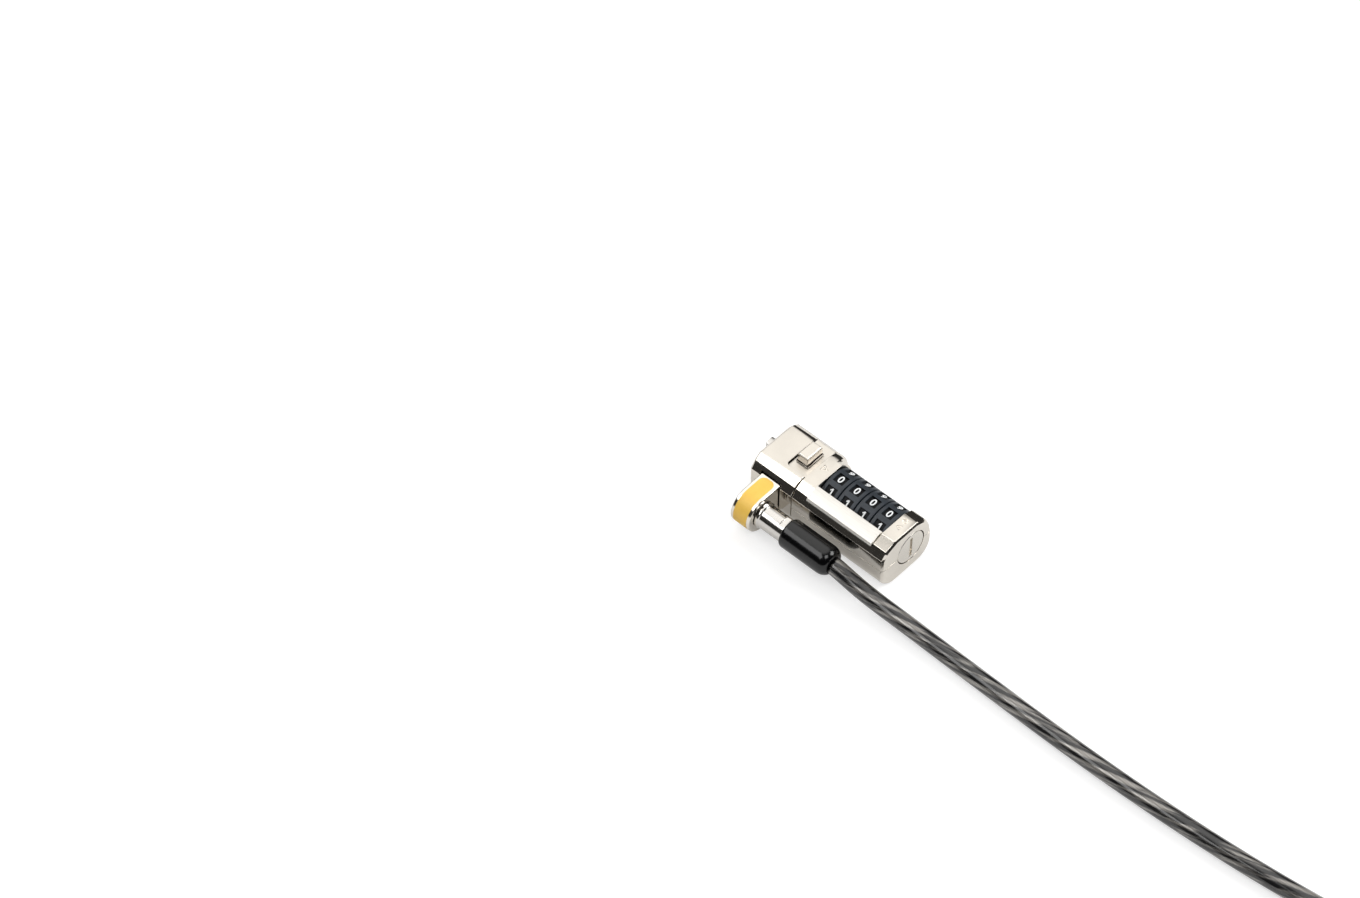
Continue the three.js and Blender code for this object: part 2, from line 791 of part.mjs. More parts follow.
const combTip = 0.25; // from the comb's bumps to the dials
const combBumpHeight = 1.2;
const combMiddle = (combBottom + combTop) / 2;
const combBumpDepth = axisY - Math.sqrt((dialRadius + combTip) ** 2 - (axisZ - combMiddle) ** 2) - combY;
const comb = join(
  solid(
    box(windowStart + seat, windowEnd - seat, combY - combThickness, combY, combBottom, combBottom + 1),
  ),
  ...Array.from({ length: dialCount }, (_, i) => {
    const centre = firstDial + i * dialPitch;
    const half = dialWidth / 2 - 1;
    return join(
      solid(box(centre - half, centre + half, combY - combThickness, combY, combBottom, combTop)),
      solid(
        alongX(
          [
            new THREE.Vector2(combY - combThickness / 2, combMiddle - combBumpHeight / 2),
            new THREE.Vector2(combY + combBumpDepth, combMiddle),
            new THREE.Vector2(combY - combThickness / 2, combMiddle + combBumpHeight / 2),
          ],
          centre - half,
          centre + half,
        ),
      ),
    );
  }),
);
place('detent_comb', comb, springSteel);

// ---------------------------------------------------------------- reset disc and its spring

const discStart = bodyLength - resetThickness;
const resetDisc = cut(
  solid(
    turned(
      [
        [discStart - 0.6, 0],
        [discStart - 0.6, resetStemRadius],
        [discStart, resetStemRadius],
        [discStart, resetRadius],
        [bodyLength - 0.2, resetRadius],
        [bodyLength, resetRadius - 0.2],
        [bodyLength, 0],
      ],
      axisY,
      axisZ,
      48,
    ),
  ),
  solid(
    box(
      bodyLength - resetSlotDepth,
      bodyLength + reach,
      axisY - resetSlotWidth / 2,
      axisY + resetSlotWidth / 2,
      axisZ - resetSlotLength / 2,
      axisZ + resetSlotLength / 2,
    ),
  ),
);
place('reset_disc', resetDisc, nickel);

// A washer with three waves, between the disc and the wall behind it.
function waveWasher() {
  const start = recessStart + 2 * seat + waveHeight;
  const outer = resetRadius - 0.8;
  const geometry = tube(axisY, axisZ, outer, outer - 1.3, start, start + waveThickness, 36);
  const at = geometry.attributes.position;
  for (let i = 0; i < at.count; i += 1) {
    const angle = Math.atan2(at.getZ(i) - axisZ, at.getY(i) - axisY);
    at.setX(i, at.getX(i) + waveHeight * Math.sin(3 * angle));
  }
  return geometry;
}
place('reset_spring', waveWasher(), springSteel);

// ---------------------------------------------------------------- cable anchor

const axisToFerrule = new THREE.Vector2(ferruleY - axisY, ferruleZ - axisZ);
const anchorSpan = axisToFerrule.length();
const anchorAngle = THREE.MathUtils.radToDeg(axisToFerrule.angle()); // from the axis to the ferrule
const tangent = THREE.MathUtils.radToDeg(Math.acos((collarHubRadius - collarRingRadius) / anchorSpan));

// The outline round both circles. The tangents leave each circle at the same angle.
function collarOutline() {
  return [
    ...arc(ferruleY, ferruleZ, collarHubRadius, anchorAngle + tangent - 180, anchorAngle + 180 - tangent, 18),
    ...arc(axisY, axisZ, collarRingRadius, anchorAngle + 180 - tangent, anchorAngle + 180 + tangent, 12),
  ];
}

// The band's strip of the rim: along the upper tangent and round the end.
const tangentTop = anchorAngle - 180 + tangent; // direction from each centre to the upper tangent

function bandOutline(outer, inner, firstY, lastAngle) {
  const line = (radius) => {
    const round = arc(ferruleY, ferruleZ, radius, tangentTop, lastAngle, 14);
    const slope = Math.tan(THREE.MathUtils.degToRad(tangentTop - 90));
    const from = round[0];
    return [new THREE.Vector2(firstY, from.y + slope * (firstY - from.x)), ...round];
  };
  return [...line(outer), ...line(inner).reverse()];
}

const clipStart = collarStart + 0.7;
const bandGroove = solid(
  alongX(
    bandOutline(collarHubRadius + reach, collarHubRadius - bandDepth, bandFirstY, bandLastAngle),
    bandStart,
    bandEnd,
  ),
);
const collar = cut(
  solid(
    alongX(collarOutline(), collarStart, collarEnd, {
      bevel: collarBevel,
    }),
  ),
  solid(rod(axisY, axisZ, bushingRadius + gap, 0, bodyLength)),
  solid(rod(ferruleY, ferruleZ, spigotRadius + gap, 0, bodyLength)),
  solid(rod(ferruleY, ferruleZ, clipRadius + gap, 0, clipStart + clipThickness + gap)),
  bandGroove,
);
place('anchor_collar', collar, nickel);
place(
  'collar_band',
  alongX(
    bandOutline(
      collarHubRadius,
      collarHubRadius - bandDepth + seat,
      bandFirstY - seat,
      bandLastAngle - 1,
    ),
    bandStart + seat,
    bandEnd - seat,
  ),
  yellow,
);

const ferruleStep = 0.35; // the ferrule's raised rim against the collar
const ferruleShoulder = collarEnd + gap;
const ferrule = cut(
  solid(
    turned(
      [
        [collarStart + 0.2, 0],
        [collarStart + 0.2, spigotRadius],
        [clipStart - seat, spigotRadius],
        [clipStart - seat, clipGroove],
        [clipStart + clipThickness + seat, clipGroove],
        [clipStart + clipThickness + seat, spigotRadius],
        [ferruleShoulder, spigotRadius],
        [ferruleShoulder, ferruleRadius + ferruleStep],
        [ferruleShoulder + 0.9, ferruleRadius + ferruleStep],
        [ferruleShoulder + 1.1, ferruleRadius],
        [ferruleEnd, ferruleRadius],
        [ferruleEnd, 0],
      ],
      ferruleY,
      ferruleZ,
      40,
    ),
  ),
  solid(
    box(
      bootStart - 1.9,
      bootStart - 0.5,
      ferruleY - ferruleRadius,
      ferruleY + ferruleRadius,
      ferruleZ + ferruleRadius - 0.5,
      ferruleZ + 2 * ferruleRadius,
    ),
  ),
);
place('cable_ferrule', ferrule, steel);

const clipOpening = 40; // degrees left open in the snap ring
const clipOutline = [
  ...arc(ferruleY, ferruleZ, clipRadius, clipOpening, 360, 24),
  ...arc(ferruleY, ferruleZ, clipGroove + seat, 360, clipOpening, 24),
];
place('ferrule_clip', alongX(clipOutline, clipStart, clipStart + clipThickness), springSteel);

const bootBore = ferruleRadius + seat;
const bootProfile = [
  [ferruleEnd + seat, 0],
  [ferruleEnd + seat, bootBore],
  [bootStart, bootBore],
  ...arc(bootStart + bootRound / 2, bootRadius - bootRound / 4, 1, 180, 90, 4).map((point) => [
    bootStart + bootRound * ((point.x - bootStart - bootRound / 2) / 2 + 0.5),
    bootRadius - (bootRound / 4) * (1 - (point.y - bootRadius + bootRound / 4)),
  ]),
  ...arc(bootEnd - bootNose, 0, 1, 90, 0, 6)
    .slice(0, -1)
    .map((point) => [
      bootEnd - bootNose + bootNose * (point.x - bootEnd + bootNose),
      cableRadius + (bootRadius - cableRadius) * point.y,
    ]),
  [bootEnd, cableRadius],
  [bootEnd, 0],
];
place('cable_boot', turned(bootProfile, ferruleY, ferruleZ, 40), bootBlack);

// ---------------------------------------------------------------- cable

// The free run: straight out of the boot, down to the table and along it to the hank.
const cableExit = bootEnd + cableEndGap;
const exitDrop = 0.4; // the cable hangs a little in the boot's mouth
const floorLine = cableRadius + 0.08;
const runRoute = [
  [cableExit, ferruleY, ferruleZ - exitDrop],
  [35, -15.1, 6.3],
  [37.5, -15.1, 5.8],
  [40.5, -15.1, 5.2],
  [44.5, -15.1, 4.6],
  [49, -15, 4.15],
  [60, -14.7, 3.35],
  [69, -14.6, 2.85],
  [79, -14.65, floorLine],
  [92, -14.9, floorLine],
  [106, -15.1, floorLine],
  [118, -15.1, floorLine],
  [130, -14.9, floorLine],
  [142, -14.5, floorLine],
  [155, -13.8, floorLine],
  [168, -12.8, floorLine],
  [182, -11.3, floorLine],
  [197, -9.2, floorLine],
  [213, -6.6, floorLine],
  [229, -4, floorLine],
  [244, -1.9, floorLine],
].map(([x, y, z]) => new THREE.Vector3(x, y, z));

// The hank: a racetrack whose half-width spirals in and out again, layer by layer. A turn is counted from
// the middle of the run on the +Y side. All runs are drawn in and lifted a little at the waist, by the tie.
const hankOuterRadius = hankInnerRadius + turnsPerLayer * hankPitch;
const stepsPerTurn = 24;
const lastClimb = 7.28; // where the cable goes up on top of the layers
const lastInward = 7.4; // and from where it turns inwards

function hankHalfWidth(turn) {
  const spiral = hankInnerRadius + hankPitch * Math.abs((turn % (2 * turnsPerLayer)) - turnsPerLayer);
  const share = THREE.MathUtils.smoothstep(turn, lastInward, hankTurns);
  return THREE.MathUtils.lerp(spiral, hankInnerRadius, share);
}

function hankHeight(turn) {
  const climb = 0.12; // half of the part of a turn in which it climbs a layer
  let layers = 0;
  for (let k = 1; k < 4; k += 1) {
    layers += THREE.MathUtils.smoothstep(turn, k * turnsPerLayer - climb, k * turnsPerLayer + climb);
  }
  const last = THREE.MathUtils.smoothstep(turn, lastClimb - climb, lastClimb + climb);
  return floorLine + layers * hankLayer + last * (hankLayer + topLift);
}

function racetrack(share, radius) {
  // Position after a share of a turn, clockwise seen from above, from the middle of the +Y run.
  const around = 2 * hankStraight + 2 * Math.PI * radius;
  let along = (((share % 1) + 1) % 1) * around;
  const half = hankStraight / 2;
  const fold = Math.PI * radius;
  if (along < half) {
    return [along, radius];
  }
  along -= half;
  if (along < fold) {
    const angle = along / radius;
    return [half + radius * Math.sin(angle), radius * Math.cos(angle)];
  }
  along -= fold;
  if (along < hankStraight) {
    return [half - along, -radius];
  }
  along -= hankStraight;
  if (along < fold) {
    const angle = along / radius;
    return [-half - radius * Math.sin(angle), -radius * Math.cos(angle)];
  }
  return [along - fold - half, radius];
}

function waist(x) {
  const near = 1 - Math.min(Math.abs(x) / (hankStraight / 2), 1);
  return near * near * (3 - 2 * near);
}

function hankPoint(turn) {
  const [x, y] = racetrack(turn, hankHalfWidth(turn));
  const z = hankHeight(turn) + waistLift * waist(x);
  return new THREE.Vector3(
    hankCentreX + x,
    hankCentreY + y - Math.sign(y) * waistIn * waist(x),
    z,
  );
}

const hankStart = -0.06; // in turns: the start of the first run
const hankRoute = [];
for (let turn = hankStart; turn < hankTurns; turn += 1 / stepsPerTurn) {
  hankRoute.push(hankPoint(turn));
}

// The run ends square to the hank's first face, a little before it.
const hankFirst = hankRoute[0];
const hankHeading = hankRoute[1].clone().sub(hankFirst).normalize();
runRoute.push(hankFirst.clone().addScaledVector(hankHeading, -8).setZ(floorLine));
runRoute.push(hankFirst.clone().addScaledVector(hankHeading, -cableEndGap));

place('cable_run', cable(runRoute, cableRadius, 10, 24), sheath);
place(
  'cable_hank',
  cable(hankRoute, cableRadius, 6, Math.round(stepsPerTurn * (hankTurns - hankStart))),
  sheath,
);

// The least gap of the wound tube to itself, measured along its middle line.
function selfGap(route, radius) {
  const curve = new THREE.CatmullRomCurve3(route, false, 'centripetal');
  curve.arcLengthDivisions = 12 * route.length;
  const spacing = 1;
  const samples = curve.getSpacedPoints(Math.round(curve.getLength() / spacing));
  let least = Infinity;
  for (let i = 0; i < samples.length; i += 1) {
    for (let j = i + Math.round((8 * radius) / spacing); j < samples.length; j += 1) {
      least = Math.min(least, samples[i].distanceTo(samples[j]));
    }
  }
  return least - 2 * radius;
}
console.log(`cable_hank: least gap to itself ${selfGap(hankRoute, cableRadius).toFixed(2)} mm`);
console.log(`cable length ${(lengthOf(runRoute) + lengthOf(hankRoute)).toFixed(0)} mm`);

// ---------------------------------------------------------------- far end of the cable

// The eye is the cable's own end, led back into a crimped sleeve. Both lie on the hank, heading +X.
const sleeveStart = hankRoute.at(-1).x + 3 * cableEndGap;
const sleeveY = hankRoute.at(-1).y;
const sleeveZ = hankRoute.at(-1).z;
const legSpread = cableRadius + 0.15; // half of the distance between the cable's legs in the sleeve

function roundedSlot(halfWidth, radius) {
  return [
    ...arc(sleeveY + halfWidth, sleeveZ, radius, -90, 90, 8),
    ...arc(sleeveY - halfWidth, sleeveZ, radius, 90, 270, 8),
  ];
}
place(
  'end_sleeve',
  alongX(roundedSlot(legSpread, cableRadius + sleeveWall), sleeveStart, sleeveStart + sleeveLength, {
    bevel: 0.4,
  }),
  steel,
);

const eyeStart = sleeveStart + sleeveLength + cableEndGap;
const eyeArcX = eyeStart + eyeLength - eyeHalfWidth;
const eyeSide = (side) => [
  [eyeStart, side * legSpread],
  [eyeStart + 3, side * (legSpread + 0.15)],
  [eyeStart + 10, side * (legSpread + 3.2)],
  [eyeStart + 18, side * (eyeHalfWidth - 2.2)],
];
const eyeRound = arc(eyeArcX, 0, eyeHalfWidth, -80, 80, 10).map((point) => [point.x, point.y]);
const eyeRoute = [...eyeSide(-1), ...eyeRound, ...eyeSide(1).reverse()].map(
  ([x, y]) => new THREE.Vector3(x, sleeveY + y, sleeveZ),
);
place('cable_eye', cable(eyeRoute, cableRadius, 8, 30), sheath);

// The tie goes round the hank's waist, the cable's last part turn and the sleeve that lie on it.
function tieOutline(out) {
  const side = hankOuterRadius - waistIn + cableRadius + 0.8 + out;
  const bottom = 0.7 - out;
  const top = floorLine + 3 * hankLayer + waistLift + cableRadius + 0.5 + out;
  const crown = sleeveZ + waistLift + cableRadius + 0.5 + out;
  const crownFar = sleeveY - hankCentreY + legSpread + cableRadius + sleeveWall + 0.6 + out;
  const crownNear = crownFar - hankOuterRadius - hankInnerRadius - cableRadius - 2 * out - 2;
  return [
    [-side, bottom],
    [side, bottom],
    [side, top],
    [crownFar, crown],
    [crownNear, crown],
    [-side, top],
  ].map(([y, z]) => new THREE.Vector2(hankCentreY + y, z));
}
place(
  'hank_tie',
  alongX(tieOutline(tieThickness), hankCentreX - tieWidth / 2, hankCentreX + tieWidth / 2, {
    holes: [tieOutline(0)],
  }),
  tieBlack,
);

// ---------------------------------------------------------------- origin

const baseCentreX = 29; // middle of the base shell's flat underside, from the nose face
lock.position.set(-baseCentreX, 0, 0);

export default part;
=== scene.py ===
# %% [markdown]
# # A four-dial cable lock for a laptop
# The lock is a small nickel-plated block. Its nose carries a T-bar for the laptop's slot, a slide button
# turns the T-bar, four dials hold the code, and a collar swings out of the nose to carry the cable.
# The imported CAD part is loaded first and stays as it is. Every piece made here sits on it, in metres.

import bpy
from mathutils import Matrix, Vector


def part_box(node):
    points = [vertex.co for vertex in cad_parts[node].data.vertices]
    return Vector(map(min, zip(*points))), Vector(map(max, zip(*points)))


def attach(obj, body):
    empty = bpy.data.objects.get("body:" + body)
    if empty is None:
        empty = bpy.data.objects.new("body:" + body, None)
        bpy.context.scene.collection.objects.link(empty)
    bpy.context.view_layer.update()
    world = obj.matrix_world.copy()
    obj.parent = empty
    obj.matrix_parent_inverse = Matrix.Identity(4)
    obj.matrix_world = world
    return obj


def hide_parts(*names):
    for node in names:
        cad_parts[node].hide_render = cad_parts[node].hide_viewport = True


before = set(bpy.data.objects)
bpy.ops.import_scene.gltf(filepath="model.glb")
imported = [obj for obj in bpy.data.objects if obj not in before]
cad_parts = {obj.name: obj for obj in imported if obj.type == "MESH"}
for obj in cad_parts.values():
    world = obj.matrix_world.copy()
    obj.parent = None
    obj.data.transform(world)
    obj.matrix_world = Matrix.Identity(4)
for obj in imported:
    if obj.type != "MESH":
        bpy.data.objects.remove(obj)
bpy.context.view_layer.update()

import math

import bpy
import numpy as np
from mathutils import Matrix, Vector

MM = 0.001
FILE_X = -29 * MM  # the CAD file counts x from the nose face, which lies here

# %% [markdown]
# ## The camera
# The photograph looks down on the lock at about 50 degrees. The direction and the distance were solved from
# the edges of things of known size, so the numbers are given and nothing is aimed at run time. A
# rotation matrix is used instead of a tracking constraint because it also holds the slight roll.

# %% Set the camera
AZIMUTH, ELEVATION, ROLL = (math.radians(angle) for angle in (42.628, 50.414, 0.422))
CAMERA_PLACE = (0.4057, -0.5095, 0.8215)
FOCAL_PIXELS = 4016.3
IMAGE_WIDTH = 1360
SENSOR_MM = 36
level_right = Vector((math.cos(AZIMUTH), math.sin(AZIMUTH), 0))
level_up = Vector((
    -math.sin(AZIMUTH) * math.sin(ELEVATION),
    math.cos(AZIMUTH) * math.sin(ELEVATION),
    math.cos(ELEVATION),
))
backwards = level_right.cross(level_up)
right = math.cos(ROLL) * level_right + math.sin(ROLL) * level_up
up = -math.sin(ROLL) * level_right + math.cos(ROLL) * level_up

camera_data = bpy.data.cameras.new("camera")
camera_data.sensor_width = SENSOR_MM
camera_data.lens = FOCAL_PIXELS / IMAGE_WIDTH * SENSOR_MM
camera_data.clip_start = 0.01
camera_data.clip_end = 20
camera = bpy.data.objects.new("camera", camera_data)
turned_to_lock = Matrix((right, up, backwards)).transposed().to_4x4()
camera.matrix_world = Matrix.Translation(CAMERA_PLACE) @ turned_to_lock
bpy.context.scene.collection.objects.link(camera)
bpy.context.scene.camera = camera
print("camera distance to the lock", round(Vector(CAMERA_PLACE).length, 3), "m")

# %% [markdown]
# ## Shader maths in plain Python
# A material here is a small calculation: a place on the piece goes in, a colour, a roughness and a bump come
# out. Wiring nodes by hand gets long, so one class wraps a socket. Adding or multiplying two of them makes
# the Math node for it, and every other node comes from the class's one node method.

# %% A socket that can be calculated with
class Wire:
    """One output socket of a node tree, which works in sums, products and comparisons like a number."""

    def __init__(self, tree, socket=None):
        self.tree = tree
        self.socket = socket

    def node(self, kind, settings=None, sockets=None, output=0):
        """Adds a node with its settings and its sockets' values or links, and gives back one output."""
        made = self.tree.nodes.new("ShaderNode" + kind)
        for name, value in (settings or {}).items():
            setattr(made, name, value)
        for name, value in (sockets or {}).items():
            if isinstance(value, Wire):
                self.tree.links.new(value.socket, made.inputs[name])
            else:
                made.inputs[name].default_value = value
        return Wire(self.tree, made.outputs[output] if made.outputs else None)

    def math(self, operation, *values):
        return self.node("Math", {"operation": operation}, dict(enumerate(values)))

    def __add__(self, other):
        return self.math("ADD", self, other)

    def __sub__(self, other):
        return self.math("SUBTRACT", self, other)

    def __rsub__(self, other):
        return self.math("SUBTRACT", other, self)

    def __mul__(self, other):
        return self.math("MULTIPLY", self, other)

    def __truediv__(self, other):
        return self.math("DIVIDE", self, other)

    def __mod__(self, other):
        return self.math("FLOORED_MODULO", self, other)

    def __gt__(self, other):
        return self.math("GREATER_THAN", self, other)

    def __lt__(self, other):
        return self.math("LESS_THAN", self, other)

    def __abs__(self):
        return self.math("ABSOLUTE", self)

    def smooth(self, low, high):
        """0 below low, 1 above high and a smooth step between."""
        return self.node(
            "MapRange",
            {"interpolation_type": "SMOOTHSTEP"},
            {"Value": self, "From Min": low, "From Max": high},
        )

    def between(self, low, high):
        """This 0 to 1 value stretched to run from low to high."""
        return self * (high - low) + low

    def mix(self, colour_a, colour_b):
        """The first colour where this value is 0, and the second where it is 1."""
        return self.node(
            "Mix",
            {"data_type": "RGBA"},
            {0: self, 6: colour_a, 7: colour_b},
            output=2,
        )


# %% [markdown]
# ## A blank material and its pattern
# Every finish starts from the same shader. The pattern is a noise of a real size in millimetres, stretched
# along one axis for brushed metal. Object coordinates are used for the solid pieces, because they are real
# distances on the piece and stay with it when it moves.

# %% Start a material
def rgb(red, green, blue):
    """A colour picked as 0 to 255 display values, as the linear colour that a shader wants."""
    return tuple(
        (value / 255 / 12.92) if value <= 10 else ((value / 255 + 0.055) / 1.055) ** 2.4
        for value in (red, green, blue)
    ) + (1,)


def darkened(colour, share):
    """The colour times a share, with its alpha left at 1."""
    return tuple(value * share for value in colour[:3]) + (1,)


def blank(name, **fixed):
    """A material, its tree as a Wire and its shader node, with the given socket values set."""
    material = bpy.data.materials.new(name)
    material.use_nodes = True
    tree = material.node_tree
    shader = tree.nodes["Principled BSDF"]
    for socket, value in fixed.items():
        shader.inputs[socket.replace("_", " ")].default_value = value
    return material, Wire(tree), shader


def feed(shader, socket, wire):
    wire.tree.links.new(wire.socket, shader.inputs[socket])


def noise(tree, size, stretch=(1, 1, 1), detail=2.0, roughness=0.5, place=None):
    """A 0 to 1 noise whose lumps are about a size across, stretched along the axes given.

    The size is in millimetres on the piece, or in the unit of another vector if one is given.
    """
    unit = MM if place is None else 1
    if place is None:
        place = tree.node("TexCoord", output=3)
    mapped = tree.node("Mapping", None, {"Vector": place, "Scale": [1 / value for value in stretch]})
    return tree.node(
        "TexNoise",
        None,
        {"Vector": mapped, "Scale": 1 / (size * unit), "Detail": detail, "Roughness": roughness},
    )


def bump(shader, height, depth_mm):
    """Raises the surface by up to depth_mm where the height is 1."""
    feed(shader, "Normal", height.node("Bump", None, {
        "Height": height, "Distance": depth_mm * MM, "Strength": 1.0,
    }))


def axis_of(tree, letter):
    """The x, y or z of the place on the piece, in millimetres."""
    place = tree.node("TexCoord", output=3)
    split = tree.node("SeparateXYZ", None, {0: place}, output="XYZ".index(letter))
    return split / MM


print("pattern helpers ready")

# %% [markdown]
# ## The cable
# The real cable is a bundle of steel strands laid in a helix under a smoky clear sheath. It leaves the boot,
# comes down to the table and runs out of the picture. The rest is folded into a tied hank beyond the view.
# A tube that follows the CAD file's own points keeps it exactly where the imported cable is.

# %% The cable's points, as in the CAD file
CABLE_RADIUS = 2.5
FLOOR_LINE = CABLE_RADIUS + 0.08
run_points = [
    (33.9, -15.1, 6.4), (35, -15.1, 6.3), (37.5, -15.1, 5.8), (40.5, -15.1, 5.2), (44.5, -15.1, 4.6),
    (49, -15, 4.15), (60, -14.7, 3.35), (69, -14.6, 2.85), (79, -14.65, FLOOR_LINE),
    (92, -14.9, FLOOR_LINE), (106, -15.1, FLOOR_LINE), (118, -15.1, FLOOR_LINE),
    (130, -14.9, FLOOR_LINE), (142, -14.5, FLOOR_LINE), (155, -13.8, FLOOR_LINE),
    (168, -12.8, FLOOR_LINE), (182, -11.3, FLOOR_LINE), (197, -9.2, FLOOR_LINE),
    (213, -6.6, FLOOR_LINE), (229, -4, FLOOR_LINE), (244, -1.9, FLOOR_LINE),
]

HANK_CENTRE = (283, -27)
HANK_STRAIGHT = 29
HANK_INNER = 15.2
HANK_PITCH = 5.85
HANK_LAYER = 5.5
HANK_TURNS = 7.9
HANK_START = -0.06
TURNS_PER_LAYER = 2
STEPS_PER_TURN = 24
LAYER_CLIMB = 0.12  # turns before and after a full layer over which the cable climbs to the next one
LAST_CLIMB = (7.16, 7.4)  # turns over which it climbs on top of the finished hank
LAST_RISE = 1.8  # how much more than a layer it climbs there
WAIST_IN = 1.6  # how far the strap draws the two sides together
WAIST_UP = 1.4  # how far it lifts them
LEAD_IN = 8  # straight piece before the first turn


def step_up(value, low, high):
    """0 below low, 1 above high and a smooth step between."""
    share = min(max((value - low) / (high - low), 0), 1)
    return share * share * (3 - 2 * share)


def hank_half_width(turn):
    """Each layer spirals in or out, and the last half turn comes in to the inner width."""
    spiral = HANK_INNER + HANK_PITCH * abs(math.fmod(turn, 2 * TURNS_PER_LAYER) - TURNS_PER_LAYER)
    return spiral + (HANK_INNER - spiral) * step_up(turn, LAST_CLIMB[1], HANK_TURNS)


def hank_height(turn):
    full_layers = [k * TURNS_PER_LAYER for k in (1, 2, 3)]
    layers = sum(step_up(turn, full - LAYER_CLIMB, full + LAYER_CLIMB) for full in full_layers)
    last = step_up(turn, *LAST_CLIMB) * (HANK_LAYER + LAST_RISE)
    return FLOOR_LINE + layers * HANK_LAYER + last


def racetrack(share, radius):
    """The place after a share of a turn, clockwise from above, from the middle of the far run."""
    fold = math.pi * radius
    along = share % 1 * (2 * HANK_STRAIGHT + 2 * fold)
    half = HANK_STRAIGHT / 2
    if along < half:
        return along, radius
    along -= half
    if along < fold:
        return half + radius * math.sin(along / radius), radius * math.cos(along / radius)
    along -= fold
    if along < HANK_STRAIGHT:
        return half - along, -radius
    along -= HANK_STRAIGHT
    if along < fold:
        return -half - radius * math.sin(along / radius), -radius * math.cos(along / radius)
    return along - fold - half, radius


def hank_point(turn):
    x, y = racetrack(turn, hank_half_width(turn))
    near = 1 - min(abs(x) / (HANK_STRAIGHT / 2), 1)
    waist = near * near * (3 - 2 * near)
    return Vector((
        HANK_CENTRE[0] + x,
        HANK_CENTRE[1] + y - math.copysign(WAIST_IN, y) * waist,
        hank_height(turn) + WAIST_UP * waist,
    ))


hank_points = []
turn = HANK_START
while turn < HANK_TURNS:
    hank_points.append(hank_point(turn))
    turn += 1 / STEPS_PER_TURN
heading = (hank_points[1] - hank_points[0]).normalized()
run_end = hank_points[0] - LEAD_IN * heading
run_end.z = FLOOR_LINE
run_points = [Vector(point) for point in run_points] + [run_end]
print("route:", len(run_points), "points to the hank and", len(hank_points), "in it")

# %% [markdown]
# ## From points to a tube
# A curve with a bevel would be quick, but a mesh tube can carry a map: one direction counts round the
# section and the other along the cable, so the strands can be drawn as a true helix. The curve through the
# points is the same one that the CAD file draws, so that the two tubes lie in one place.

# %% Make tubes along points
def smooth_line(points, spacing):
    """A centripetal Catmull-Rom curve through the points, cut into steps of about the spacing."""
    first = points[0] * 2 - points[1]
    last = points[-1] * 2 - points[-2]
    ends = [first, *points, last]
    line = []
    for p0, p1, p2, p3 in zip(ends, ends[1:], ends[2:], ends[3:]):
        k0, k1, k2 = (max((b - a).length, 1e-6) ** 0.5 for a, b in ((p0, p1), (p1, p2), (p2, p3)))
        m1 = ((p1 - p0) / k0 - (p2 - p0) / (k0 + k1) + (p2 - p1) / k1) * k1
        m2 = ((p2 - p1) / k1 - (p3 - p1) / (k1 + k2) + (p3 - p2) / k2) * k1
        steps = max(2, round((p2 - p1).length / spacing))
        for i in range(steps):
            t = i / steps
            line.append(
                p1 * (2 * t**3 - 3 * t**2 + 1) + m1 * (t**3 - 2 * t**2 + t)
                + p2 * (3 * t**2 - 2 * t**3) + m2 * (t**3 - t**2)
            )
    line.append(points[-1])
    return line


def length_of(line):
    return sum((b - a).length for a, b in zip(line, line[1:]))


def to_frame(point):
    """A point of the CAD file, in millimetres, as a place in the shared frame."""
    return Vector((point[0] * MM + FILE_X, point[1] * MM, point[2] * MM))


def tube(name, line, radius, sides=20):
    """A closed round tube along a line of frame points, with a map of turns round and metres along."""
    tangents = [(b - a).normalized() for a, b in zip([line[0]] + line, line[1:] + [line[-1]])]
    side = Vector((0, 1, 0))
    vertices, travelled, distance = [], [], 0.0
    for i, (point, tangent) in enumerate(zip(line, tangents)):
        side = (side - side.dot(tangent) * tangent).normalized()
        other = tangent.cross(side)
        if i:
            distance += (point - line[i - 1]).length
        travelled.append(distance)
        for k in range(sides):
            angle = 2 * math.pi * k / sides
            vertices.append(point + radius * (math.cos(angle) * side + math.sin(angle) * other))
    faces, maps = [], []
    for i in range(len(line) - 1):
        for k in range(sides):
            after = (k + 1) % sides
            faces.append((i * sides + k, i * sides + after, (i + 1) * sides + after, (i + 1) * sides + k))
            maps += [
                (k / sides, travelled[i]), ((k + 1) / sides, travelled[i]),
                ((k + 1) / sides, travelled[i + 1]), (k / sides, travelled[i + 1]),
            ]
    faces.append(tuple(reversed(range(sides))))
    faces.append(tuple(range(len(vertices) - sides, len(vertices))))
    maps += [(0, 0)] * (2 * sides)
    mesh = bpy.data.meshes.new(name)
    mesh.from_pydata([tuple(v) for v in vertices], [], faces)
    mesh.uv_layers.new(name="along").data.foreach_set("uv", np.array(maps, np.float32).ravel())
    mesh.shade_smooth()
    piece = bpy.data.objects.new(name, mesh)
    bpy.context.scene.collection.objects.link(piece)
    return piece


# %% The cable from the boot to the end of the hank
RING_SPACING = 1.6 * MM
cable_line = smooth_line([to_frame(p) for p in run_points + hank_points], RING_SPACING)
cable = tube("steel_cable", cable_line, CABLE_RADIUS * MM)
cable_length = length_of(cable_line)
print("cable length", round(cable_length, 3), "m, in", len(cable_line), "rings")

# %% [markdown]
# ## The cable's finish
# Under the sheath the strands lie side by side and climb round the core. Turns round plus metres along give
# a helix, and its fraction says how far across one strand a point is. Light strands show through the dark
# sheath in broken streaks, crossed by finer wires that climb the other way. The sheath is smooth and glossy.

